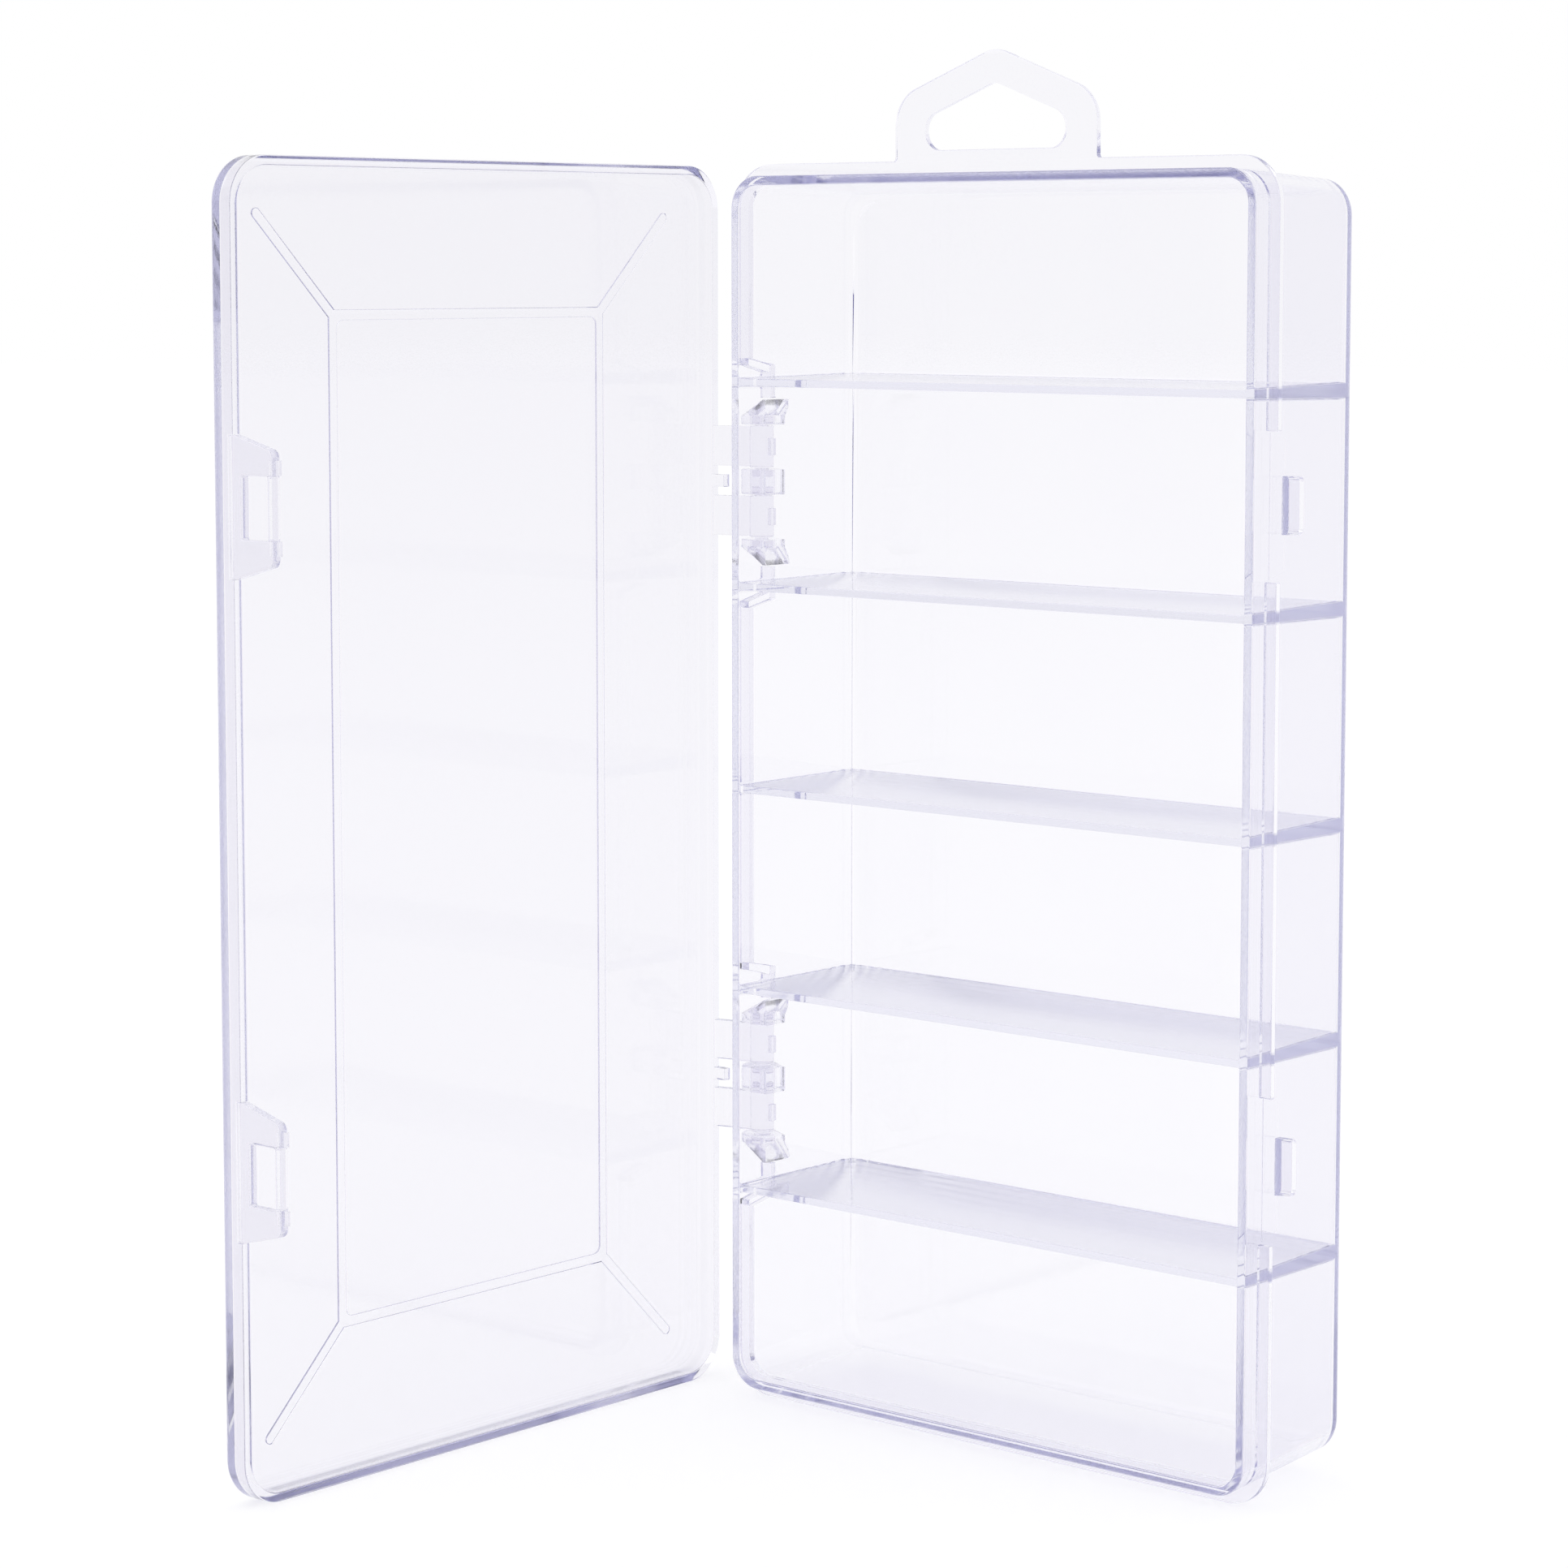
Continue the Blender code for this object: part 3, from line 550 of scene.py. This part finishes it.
class TrayShapes:
    """The tray's parts as shapes, drawn with the rim at Y = 0 and the tray's middle at X = 0."""

    def __init__(self, scene):
        self.tray = scene.partsbox_tray
        self.hinge = scene.partsbox_hinge
        self.half_x = FLANGE_HALF_WIDTH - self.tray.flange_reach
        self.half_z = FLANGE_HALF_HEIGHT - self.tray.flange_reach
        self.depth = tray_high.y - tray_low.y
        self.sink = self.tray.flange_reach + self.tray.wall / 2
        self.corner = self.tray.rim_corner + self.tray.flange_reach
        pitch = 2 * self.half_z / self.tray.compartments
        self.stations = (CENTRE_Z + 1.5 * pitch, CENTRE_Z - 1.5 * pitch)
        middle = self.tray.compartments / 2 - 1
        self.levels = [CENTRE_Z + (middle - index) * pitch for index in range(self.tray.compartments - 1)]
        self.hinge_x = -self.half_x - self.hinge.outside
        self.hinge_y = self.hinge.behind_rim
        self.lug_spacing = self.hinge.knuckle_length + 2 * KNUCKLE_GAP + self.hinge.lug_thickness

    def drafted(self, y):
        return self.tray.draft * y / self.depth

    def plate(self, shape, outline, low, high, rounding, axis, holes=()):
        """A plate in tray coordinates, moved to its place."""
        start = len(shape.verts)
        add_plate(shape, outline, low, high, rounding, axis, holes)
        shape.verts.ensure_lookup_table()
        bmesh.ops.translate(shape, verts=shape.verts[start:], vec=tray_spot(0, 0, 0))

    def flange_plate(self, shape, outline, holes=()):
        front = self.tray.flange_setback
        self.plate(shape, outline, front, front + self.tray.flange_thickness, self.tray.edge_round, "y", holes)

    def shell(self, shape):
        """Outside from the floor's edge to the rim, over it, and back down inside."""
        tray = self.tray
        profile = []
        for missing, gone in reversed(quarter_turn(FLOOR_STEPS)):
            y = self.depth - tray.floor_edge * missing
            profile.append((self.drafted(y) + tray.floor_edge * gone, 0.0, y))
        rim = quarter_turn(EDGE_STEPS)
        profile += [(tray.rim_round * gone, 0.0, tray.rim_round * missing) for missing, gone in rim]
        profile += [(tray.wall - tray.rim_round * missing, tray.wall, tray.rim_round * gone) for missing, gone in rim]
        for missing, gone in quarter_turn(FLOOR_STEPS):
            y = self.depth - tray.wall - tray.inner_edge * missing
            profile.append((tray.wall + self.drafted(y) + tray.inner_edge * gone, tray.wall, y))
        rings = []
        for inset, narrower, y in profile:
            flat = rounded_rectangle(self.half_x - inset, self.half_z - inset, tray.rim_corner - narrower)
            rings.append([tray_spot(point.x, y, CENTRE_Z + point.y) for point in flat])
        add_capped(shape, rings)

    def flange_with_tab(self, shape):
        """The top run of the flange, from the upper hinge over the top to the upper latch, with the hang tab."""
        out_x, out_z = FLANGE_HALF_WIDTH, CENTRE_Z + FLANGE_HALF_HEIGHT
        in_x, in_z = out_x - self.sink, out_z - self.sink
        corner, inner_corner = self.corner, self.corner - self.sink
        right = self.stations[0] + self.tray.latch_gap / 2
        left = self.stations[0] + self.tray.hinge_gap / 2
        foot, side, peak = self.hinge.tab_width / 2, out_z + TAB_SIDE, out_z + TAB_PEAK
        outline = outline_from_rows([
            (out_x, right, 0), (out_x, out_z, corner), (foot, out_z, TAB_FOOT_FILLET), (foot, side, TAB_SHOULDER),
            (0, peak, TAB_SHOULDER), (-foot, side, TAB_SHOULDER), (-foot, out_z, TAB_FOOT_FILLET),
            (-out_x, out_z, corner), (-out_x, left, 0), (-in_x, left, 0), (-in_x, in_z, inner_corner),
            (in_x, in_z, inner_corner), (in_x, right, 0),
        ], OUTLINE_STEPS)
        low, half = out_z + HOLE_RISE, self.hinge.hole_width / 2
        hole = outline_from_rows([
            (half, low, HOLE_END), (half, low + HOLE_SIDE, HOLE_END), (0, low + HOLE_PEAK, HOLE_PEAK_RADIUS),
            (-half, low + HOLE_SIDE, HOLE_END), (-half, low, HOLE_END),
        ], OUTLINE_STEPS)
        self.flange_plate(shape, outline, [hole])

    def flange_bottom(self, shape):
        """The bottom run of the flange, from the lower latch round to the lower hinge."""
        out_x, out_z = FLANGE_HALF_WIDTH, CENTRE_Z - FLANGE_HALF_HEIGHT
        in_x, in_z = out_x - self.sink, out_z + self.sink
        corner, inner_corner = self.corner, self.corner - self.sink
        right = self.stations[1] - self.tray.latch_gap / 2
        left = self.stations[1] - self.tray.hinge_gap / 2
        self.flange_plate(shape, outline_from_rows([
            (-out_x, left, 0), (-out_x, out_z, corner), (out_x, out_z, corner), (out_x, right, 0),
            (in_x, right, 0), (in_x, in_z, inner_corner), (-in_x, in_z, inner_corner), (-in_x, left, 0),
        ], OUTLINE_STEPS))

    def flange_side(self, side, gap, shape):
        """The straight run of the flange between the two hinges or the two latches."""
        low_z, high_z = self.stations[1] + gap / 2, self.stations[0] - gap / 2
        out_x = side * FLANGE_HALF_WIDTH
        self.flange_plate(shape, rectangle(out_x - side * self.sink, out_x, low_z, high_z))

    def ledge(self, centre_z, side, shape):
        """The flange's step back beside a hinge."""
        tray, hinge = self.tray, self.hinge
        thick = tray.flange_thickness
        corner = tray.hinge_gap / 2
        start = self.lug_spacing + hinge.lug_thickness / 2 + LEDGE_GAP
        front = tray.flange_setback + LEDGE_SINK
        back = hinge.ledge_setback
        flat = outline_from_rows([
            (front, corner + thick, 0), (front, corner, LEDGE_ROUND), (back, corner - LEDGE_SLOPE, LEDGE_ROUND),
            (back, start, 0), (back + thick, start, 0), (back + thick, corner, LEDGE_ROUND),
            (tray.flange_setback + thick - LEDGE_SINK, corner + thick, 0),
        ], LEDGE_STEPS)
        outline = [(point.x, centre_z + side * point.y) for point in flat]
        self.plate(shape, outline, -FLANGE_HALF_WIDTH, -self.half_x + tray.wall / 2, tray.edge_round, "x")

    def divider(self, centre_z, shape):
        """A plate from wall to wall with a rounded front edge and a fillet along the walls and the floor."""
        tray = self.tray
        front = DIVIDER_SETBACK
        floor_y = self.depth - tray.wall
        fillet = tray.divider_fillet
        radius = tray.divider_edge / 2 * DIVIDER_ROUND_SHARE
        rows = [front + radius * share for share in (0.0, 0.12, 0.3, 0.55, 0.8, 1.0)]
        rows += [floor_y - fillet * share for share in (1.0, 0.6, 0.3, 0.1, 0.0)] + [floor_y + tray.wall / 2]
        grid = {}
        for row, y in enumerate(rows):
            wall_x = self.half_x - tray.wall - self.drafted(y)
            left = [-wall_x - tray.wall / 2] + [-wall_x + fillet * share for share in (0.0, 0.1, 0.3, 0.6, 1.0)]
            columns = left + [-x for x in reversed(left)]
            for column, x in enumerate(columns):
                thick = tray.divider_edge + (tray.divider_root - tray.divider_edge) * (y - front) / (floor_y - front)
                half = thick / 2
                if y < front + radius:
                    half -= fall_away(radius, radius - (y - front))
                gaps = [gap for gap in (wall_x - abs(x), floor_y - y) if gap < fillet]
                half += max([0.0] + [fall_away(fillet, fillet - max(gap, 0.0)) for gap in gaps])
                for face, sign in (("top", 1), ("low", -1)):
                    grid[face, row, column] = shape.verts.new(tray_spot(x, y, centre_z + sign * half))
        last_row, last_column = len(rows) - 1, len(columns) - 1
        for face in ("top", "low"):
            for row in range(last_row):
                for column in range(last_column):
                    spots = ((row, column), (row, column + 1), (row + 1, column + 1), (row + 1, column))
                    shape.faces.new([grid[(face, *spot)] for spot in spots])
        edge = [(0, column) for column in range(last_column)]
        edge += [(row, last_column) for row in range(last_row)]
        edge += [(last_row, column) for column in range(last_column, 0, -1)]
        edge += [(row, 0) for row in range(last_row, 0, -1)]
        for spot, after in zip(edge, edge[1:] + edge[:1]):
            corners = (("top", *spot), ("top", *after), ("low", *after), ("low", *spot))
            shape.faces.new([grid[corner] for corner in corners])

    def lug_outline(self, reach_share):
        hinge = self.hinge
        root_x = -self.half_x + self.drafted(self.hinge_y) + self.tray.wall / 2
        nose = arc((self.hinge_x, self.hinge_y), hinge.lug_radius, 90, 180, NOSE_STEPS)
        points = [Vector((root_x, self.hinge_y + LUG_ROOT_BEHIND)), *nose]
        points.append(Vector((root_x, self.hinge_y - hinge.lug_radius)))
        return [Vector((root_x + (point.x - root_x) * reach_share, point.y)) for point in points]

    def middle_lug(self, centre_z, shape):
        half = self.hinge.lug_thickness / 2
        self.plate(shape, self.lug_outline(1), centre_z - half, centre_z + half, LUG_ROUND, "z")

    def end_lug(self, inner_z, side, shape):
        """An end lug that slopes back to the wall away from the knuckle."""
        full = self.lug_outline(1)
        rings = [(inset_outline(full, LUG_ROUND * missing), LUG_ROUND * gone)
                 for missing, gone in quarter_turn(EDGE_STEPS)]
        rings.append((full, self.hinge.lug_straight))
        rings.append((self.lug_outline(LUG_TAPER_SHARE), self.hinge.lug_thickness))
        add_capped(shape, [[tray_spot(point.x, point.y, inner_z + side * z) for point in ring] for ring, z in rings])

    def bore(self, low_z, high_z, shape):
        circle = arc((self.hinge_x, self.hinge_y), self.hinge.bore_radius, 0, 360, BARREL_STEPS)[:-1]
        add_capped(shape, [[tray_spot(point.x, point.y, z) for point in circle] for z in (low_z, high_z)])

    def catch(self, centre_z, shape):
        """A ramped catch with rounded corners."""
        back = CATCH_BACK
        crest = back - CATCH_CREST
        front = crest - CATCH_RAMP
        root = self.half_x - self.drafted(back) - self.tray.wall / 2
        surface = self.half_x - self.drafted(crest)
        tip = self.half_x - self.drafted(back) + self.hinge.catch_reach
        half = self.hinge.catch_height / 2
        radii = [CATCH_FRONT_CORNER, CATCH_CORNER, CATCH_CORNER, CATCH_FRONT_CORNER]
        outline = rounded_outline(rectangle(front, back, -half, half), radii, SMALL_STEPS)
        levels = [(root, 0.0, -math.inf), (surface, 0.0, -math.inf)]
        for missing, gone in quarter_turn(CATCH_STEPS):
            inset = CATCH_ROUND * gone
            levels.append((tip - CATCH_ROUND * missing, inset, front + inset + CATCH_RAMP))
        rings = []
        for x, inset, start in levels:
            loop = inset_outline(outline, inset)
            rings.append([tray_spot(x, max(point.x, start), centre_z + point.y) for point in loop])
        add_capped(shape, rings)

    def latch_step(self, centre_z, shape):
        """The faint raised field of the wall where a latch tab lands."""
        half = LATCH_STEP_HEIGHT / 2
        near, far = self.tray.flange_setback + self.tray.flange_thickness, LATCH_STEP_DEPTH
        wide = half + LATCH_STEP_SLOPE
        points = [(near, -wide), (far, -half), (far, half), (near, wide)]
        rings = []
        for lift in (-self.tray.wall / 2, LATCH_STEP_RISE):
            rings.append([tray_spot(self.half_x - self.drafted(y) + lift, y, centre_z + z) for y, z in points])
        add_capped(shape, rings)


class PARTSBOX_OT_tray(Operator):
    """Make the tray with its flange, dividers, hang tab, hinge lugs and catches"""

    bl_idname = "parts_box.tray"
    bl_label = "Make tray"

    def execute(self, context):
        shapes = TrayShapes(context.scene)
        half_lug = shapes.hinge.lug_thickness / 2
        item = new_object("clear_tray", shapes.shell)
        adds = [shapes.flange_with_tab, shapes.flange_bottom]
        adds.append(partial(shapes.flange_side, -1, shapes.tray.hinge_gap))
        adds.append(partial(shapes.flange_side, 1, shapes.tray.latch_gap))
        bores = []
        for centre_z in shapes.stations:
            adds += [partial(shapes.ledge, centre_z, 1), partial(shapes.ledge, centre_z, -1)]
            adds += [partial(maker, centre_z) for maker in (shapes.middle_lug, shapes.latch_step, shapes.catch)]
            for side in (1, -1):
                inner_z = centre_z + side * (shapes.lug_spacing - half_lug)
                adds.append(partial(shapes.end_lug, inner_z, side))
                bores.append(partial(shapes.bore, *sorted((inner_z - side * PAST, inner_z + side * BORE_DEPTH))))
            bores.append(partial(shapes.bore, centre_z - half_lug - PAST, centre_z + half_lug + PAST))
        adds += [partial(shapes.divider, level) for level in shapes.levels]
        fuse(item, adds)
        fuse(item, bores, "DIFFERENCE")
        nodes = ["tray_shell", "hang_tab", "catch_upper", "catch_lower"]
        nodes += [f"divider_{index + 1}" for index in range(len(shapes.levels))]
        nodes += [f"hinge_lug_{label}_{number}" for label in ("upper", "lower") for number in (1, 2, 3)]
        finish_piece(item, "tray", nodes, "Tray plastic", self.grained_test(shapes))
        return {"FINISHED"}

    def grained_test(self, shapes):
        """The dividers' faces and the hinge lugs are grained; the rest is polished."""
        inside = shapes.half_x - shapes.tray.wall
        lugs_end = tray_spot(-shapes.half_x - LUG_START, 0, 0).x

        def on_divider(face):
            centre = face.center
            near = min(abs(centre.z - level) for level in shapes.levels)
            between_walls = abs(centre.x - TRAY_CENTRE) < inside and centre.y > RIM_Y
            return abs(face.normal.z) > DIVIDER_FACING and near < DIVIDER_REACH and between_walls

        def on_lug(face):
            return face.center.x < lugs_end and face.center.y > RIM_Y + LUG_BEHIND_RIM

        return lambda face: on_divider(face) or on_lug(face)


# Lid

class LidShapes:
    """The lid's parts as shapes, drawn shut in tray coordinates and then swung open about the hinge line."""

    def __init__(self, scene):
        self.tray_shapes = TrayShapes(scene)
        self.hinge = scene.partsbox_hinge
        self.lid = scene.partsbox_lid
        self.hinge_x, self.hinge_y = self.tray_shapes.hinge_x, self.tray_shapes.hinge_y
        self.rim_y = scene.partsbox_tray.flange_setback - SEAT_GAP
        self.front_y = self.rim_y - self.lid.depth

    def opened(self, maker, *place):
        """Swings what a maker drew shut to the open place."""

        def turned(shape):
            maker(*place, shape)
            centre = Vector((HINGE_SPOT.x, HINGE_SPOT.y, 0))
            move = Matrix.Translation(centre) @ LID_TURN @ Matrix.Translation(-centre)
            bmesh.ops.transform(shape, matrix=move @ Matrix.Translation(tray_spot(0, 0, 0)), verts=shape.verts)

        return turned

    def shell(self, shape):
        """The panel's rounded edge down to the skirt's rim, and back up inside."""
        lid = self.lid
        inside = self.front_y + lid.panel
        panel, rim = quarter_turn(PANEL_STEPS), quarter_turn(EDGE_STEPS)
        profile = [(lid.edge * missing, self.front_y + lid.edge * gone) for missing, gone in panel]
        profile += [(lid.rim_round * gone, self.rim_y - lid.rim_round * missing) for missing, gone in rim]
        profile += [(lid.skirt - lid.rim_round * missing, self.rim_y - lid.rim_round * gone) for missing, gone in rim]
        profile += [(lid.skirt + lid.inner_edge * gone, inside + lid.inner_edge * missing) for missing, gone in panel]
        rings = []
        for inset, y in profile:
            radius = self.tray_shapes.corner - inset
            flat = rounded_rectangle(FLANGE_HALF_WIDTH - inset, FLANGE_HALF_HEIGHT - inset, radius)
            rings.append([(point.x, y, CENTRE_Z + point.y) for point in flat])
        add_capped(shape, rings)

    def ribs(self, shape):
        """A rib frame with a diagonal rib at each corner, in one outline."""
        lid = self.lid
        half = lid.rib_width / 2
        side, top = lid.rib_half_width, lid.rib_half_height
        slip = half * math.sqrt(2)
        end = Vector((side, top)) + Vector((1, 1)).normalized() * (lid.rib_arm_run * math.sqrt(2))
        arm = [Vector((side + half, top + half - slip))]
        for step in range(RIB_END_STEPS + 1):
            angle = math.radians(-45 + 180 * step / RIB_END_STEPS)
            arm.append(end + Vector((math.cos(angle), math.sin(angle))) * half)
        arm.append(Vector((side + half - slip, top + half)))
        outline = []
        for flip_x, flip_z in ((1, 1), (-1, 1), (-1, -1), (1, -1)):
            placed = [(flip_x * point.x, CENTRE_Z + flip_z * point.y) for point in arm]
            outline += placed if flip_x * flip_z > 0 else placed[::-1]
        flat = rounded_rectangle(side - half, top - half, RIB_INNER_CORNER, WINDOW_STEPS)
        hole = [(point.x, CENTRE_Z + point.y) for point in flat]
        add_plate(shape, outline, self.front_y - lid.rib_rise, self.front_y + RIB_SINK, RIB_ROUND, "y", [hole])

    def notch(self, centre_z, shape):
        half = self.lid.latch_root / 2 + LATCH_SEAM
        near = FLANGE_HALF_WIDTH - self.lid.skirt - PAST
        points = rectangle(near, FLANGE_HALF_WIDTH + PAST, -half, half)
        levels = (self.rim_y - NOTCH_DEPTH, self.rim_y + PAST)
        add_capped(shape, [[(x, y, centre_z + z) for x, z in points] for y in levels])

    def tongue(self, centre_z, shape):
        half = TONGUE_HEIGHT / 2
        outline = rectangle(self.rim_y - PAST, self.rim_y + TONGUE_REACH, centre_z - half, centre_z + half)
        outer, inner = -FLANGE_HALF_WIDTH + TONGUE_INSET, -FLANGE_HALF_WIDTH + self.lid.skirt - TONGUE_INSET
        add_plate(shape, outline, outer, inner, ARM_ROUND, "x")

    def barrel(self, centre_z, radius, past, steps, shape):
        """A round bar on the hinge line, as long as a knuckle and a given length past it at each end."""
        circle = arc((self.hinge_x, self.hinge_y), radius, 0, 360, steps)[:-1]
        half = self.hinge.knuckle_length / 2 + past
        add_plate(shape, circle, centre_z - half, centre_z + half, ARM_ROUND, "z")

    def arm(self, centre_z, shape):
        """The arm from the skirt's rim to the knuckle."""
        half_skirt = self.lid.skirt / 2
        start = Vector((-FLANGE_HALF_WIDTH + half_skirt, self.rim_y - half_skirt))
        end = Vector((self.hinge_x, self.hinge_y))
        along = (end - start).normalized()
        across = Vector((-along.y, along.x)) * (self.hinge.arm_thickness / 2)
        level = half_skirt - ARM_SLACK
        outline = [(start.x - level, start.y), (start.x + level, start.y), end - across, end + across]
        half = self.hinge.knuckle_length / 2 - ARM_INSET
        add_plate(shape, outline, centre_z - half, centre_z + half, ARM_ROUND, "z")

    def nib(self, centre_z, shape):
        half_x, half_z = NIB_WIDTH / 2, NIB_HEIGHT / 2
        top = self.hinge_y + self.hinge.knuckle_radius + NIB_REACH
        outline = rectangle(self.hinge_x - half_x, self.hinge_x + half_x, self.hinge_y, top)
        add_plate(shape, outline, centre_z - half_z, centre_z + half_z, ARM_ROUND, "z")

    def latch(self, centre_z, shape):
        """A latch tab with its window, drawn flat in Y and Z."""
        lid = self.lid
        root_y, rim_y = self.rim_y - NOTCH_DEPTH + LATCH_SEAM, self.rim_y + SEAT_GAP
        end_y = self.rim_y + lid.latch_reach
        root, end = lid.latch_root / 2, lid.latch_end / 2
        flat = outline_from_rows([
            (root_y, -root, 0), (rim_y, -root, LATCH_ROOT_ROUND), (end_y, -end, LATCH_CORNER),
            (end_y, end, LATCH_CORNER), (rim_y, root, LATCH_ROOT_ROUND), (root_y, root, 0),
        ], SMALL_STEPS)
        start, half = self.rim_y + WINDOW_START, lid.window_height / 2
        corners = rectangle(start, start + lid.window_length, -half, half)
        opening = rounded_outline(corners, [WINDOW_CORNER] * 4, WINDOW_STEPS)
        outline, window = ([(point.x, centre_z + point.y) for point in loop] for loop in (flat, opening))
        inside = FLANGE_HALF_WIDTH - lid.latch_thickness
        add_plate(shape, outline, inside, FLANGE_HALF_WIDTH, LATCH_ROUND, "x", [window])

    def latch_pad(self, centre_z, side, shape):
        lid = self.lid
        inner, outer = lid.window_height / 2 + PAD_INSET, lid.latch_end / 2 - LATCH_CORNER - PAD_INSET
        end_y = self.rim_y + lid.latch_reach - PAD_INSET
        outline = rectangle(end_y - PAD_LENGTH, end_y, centre_z + side * inner, centre_z + side * outer)
        inside = FLANGE_HALF_WIDTH - lid.latch_thickness
        add_plate(shape, outline, inside - PAD_RISE, inside + lid.latch_thickness / 2, ARM_ROUND, "x")


class PARTSBOX_OT_lid(Operator):
    """Make the lid with its ribs, hinge arms, knuckles and pins"""

    bl_idname = "parts_box.lid"
    bl_label = "Make lid"

    def execute(self, context):
        shapes = LidShapes(context.scene)
        opened, hinge = shapes.opened, shapes.hinge
        stations = shapes.tray_shapes.stations
        item = new_object("clear_lid", opened(shapes.shell))
        adds, nodes = [opened(shapes.ribs)], ["lid_shell"]
        for label, centre_z in zip(("upper", "lower"), stations):
            adds.append(opened(shapes.tongue, centre_z))
            for number, side in ((1, 1), (2, -1)):
                place = centre_z + side * shapes.tray_shapes.lug_spacing / 2
                adds.append(opened(shapes.arm, place))
                adds.append(opened(shapes.barrel, place, hinge.knuckle_radius, 0.0, BARREL_STEPS))
                adds.append(opened(shapes.barrel, place, hinge.pin_radius, PIN_LENGTH, PIN_STEPS))
                adds.append(opened(shapes.nib, place))
                nodes.append(f"lid_knuckle_{label}_{number}")
        fuse(item, adds)
        fuse(item, [opened(shapes.notch, centre_z) for centre_z in stations], "DIFFERENCE")
        line = Vector((HINGE_SPOT.x, HINGE_SPOT.y, 0))
        finish_piece(item, "lid", nodes, "Lid plastic",
                     lambda face: (face.center - line).xy.length < HINGE_REACH)
        return {"FINISHED"}


class PARTSBOX_OT_latches(Operator):
    """Make the two latch tabs"""

    bl_idname = "parts_box.latches"
    bl_label = "Make latch tabs"

    def execute(self, context):
        shapes = LidShapes(context.scene)
        for label, centre_z in zip(("upper", "lower"), shapes.tray_shapes.stations):
            item = new_object("clear_latch_" + label, shapes.opened(shapes.latch, centre_z))
            fuse(item, [shapes.opened(shapes.latch_pad, centre_z, side) for side in (1, -1)])
            nodes = ["latch_tab_" + label]
            finish_piece(item, "latch_" + label, nodes, "Latch plastic", lambda face: False)
        return {"FINISHED"}


# Stage

def floor_finish(finish):
    """A plain pale floor that shows as white, plainly or through the plastic, and keeps a faint shadow."""
    material = bpy.data.materials.new("Studio floor")
    material.use_nodes = True
    tree = material.node_tree
    paths = add_node(tree, "LightPath").outputs
    seen = calculate(tree, "MAXIMUM", paths["Is Camera Ray"], paths["Is Glossy Ray"])
    seen = calculate(tree, "MAXIMUM", paths["Is Transmission Ray"], seen)
    set_inputs(tree, tree.nodes["Principled BSDF"], {
        "Base Color": (*finish.floor_tint, 1),
        "Roughness": FLOOR_ROUGHNESS,
        "Specular IOR Level": 0.0,
        "Emission Color": (1, 1, 1, 1),
        "Emission Strength": calculate(tree, "MULTIPLY", seen, FLOOR_LIFT),
    })
    return material


def floor_shape(shape):
    corners = rectangle(-FLOOR_HALF, FLOOR_HALF, -FLOOR_HALF, FLOOR_HALF)
    shape.faces.new([shape.verts.new((x, y, -FLOOR_DROP)) for x, y in corners])


class PARTSBOX_OT_stage(Operator):
    """Make the white floor, the soft light and the camera"""

    bl_idname = "parts_box.stage"
    bl_label = "Make stage"

    def execute(self, context):
        scene = context.scene
        scene.view_settings.view_transform = "Standard"
        floor = new_object("studio_floor", floor_shape)
        floor.data.materials.append(floor_finish(scene.partsbox_finish))
        world = bpy.data.worlds.new("White studio")
        world.use_nodes = True
        set_inputs(world.node_tree, world.node_tree.nodes["Background"], {"Color": (1, 1, 1, 1), "Strength": 1.0})
        scene.world = world
        for name, spot, size, power in LAMPS:
            lamp = bpy.data.lights.new(name, "AREA")
            lamp.size = size
            lamp.energy = power
            item = bpy.data.objects.new(name, lamp)
            item.location = spot
            item.rotation_euler = (LAMP_AIM - Vector(spot)).to_track_quat("-Z", "Y").to_euler()
            scene.collection.objects.link(item)
        camera = bpy.data.cameras.new("photo_camera")
        camera.lens = CAMERA_LENS
        camera.shift_y = CAMERA_SHIFT
        camera.clip_start = CAMERA_CLIP
        item = bpy.data.objects.new("photo_camera", camera)
        item.location = CAMERA_SPOT
        item.rotation_euler = (math.radians(90 - CAMERA_PITCH), 0, math.radians(CAMERA_YAW))
        scene.collection.objects.link(item)
        scene.camera = item
        scene.cycles.max_bounces = CLEAR_BOUNCES
        scene.cycles.transmission_bounces = CLEAR_BOUNCES
        scene.cycles.glossy_bounces = CLEAR_BOUNCES
        scene.cycles.transparent_max_bounces = OPEN_BOUNCES
        scene.cycles.blur_glossy = 0.0
        return {"FINISHED"}


class PARTSBOX_PT_panel(Panel):
    """Lists the box's sizes, colours and pieces"""

    bl_label = "Parts Box"
    bl_idname = "PARTSBOX_PT_panel"
    bl_space_type = "VIEW_3D"
    bl_region_type = "UI"
    bl_category = "Parts Box"

    def draw(self, context):
        layout = self.layout
        for operator in OPERATORS:
            layout.operator(operator.bl_idname)
        for group_name in GROUP_NAMES:
            group = getattr(context.scene, group_name)
            column = layout.box().column()
            for name in group.bl_rna.properties.keys():
                if name not in ("rna_type", "name"):
                    column.prop(group, name)


OPERATORS = (PARTSBOX_OT_tray, PARTSBOX_OT_lid, PARTSBOX_OT_latches, PARTSBOX_OT_stage)
CLASSES = (*GROUPS, *OPERATORS, PARTSBOX_PT_panel)


def register():
    for item in CLASSES:
        bpy.utils.register_class(item)
    for name, group in zip(GROUP_NAMES, GROUPS):
        setattr(bpy.types.Scene, name, PointerProperty(type=group))


def unregister():
    for name in GROUP_NAMES:
        delattr(bpy.types.Scene, name)
    for item in reversed(CLASSES):
        bpy.utils.unregister_class(item)


def main():
    register()
    bpy.ops.parts_box.tray()
    bpy.ops.parts_box.lid()
    bpy.ops.parts_box.latches()
    bpy.ops.parts_box.stage()
    bpy.context.view_layer.update()


if __name__ == "__main__":
    main()
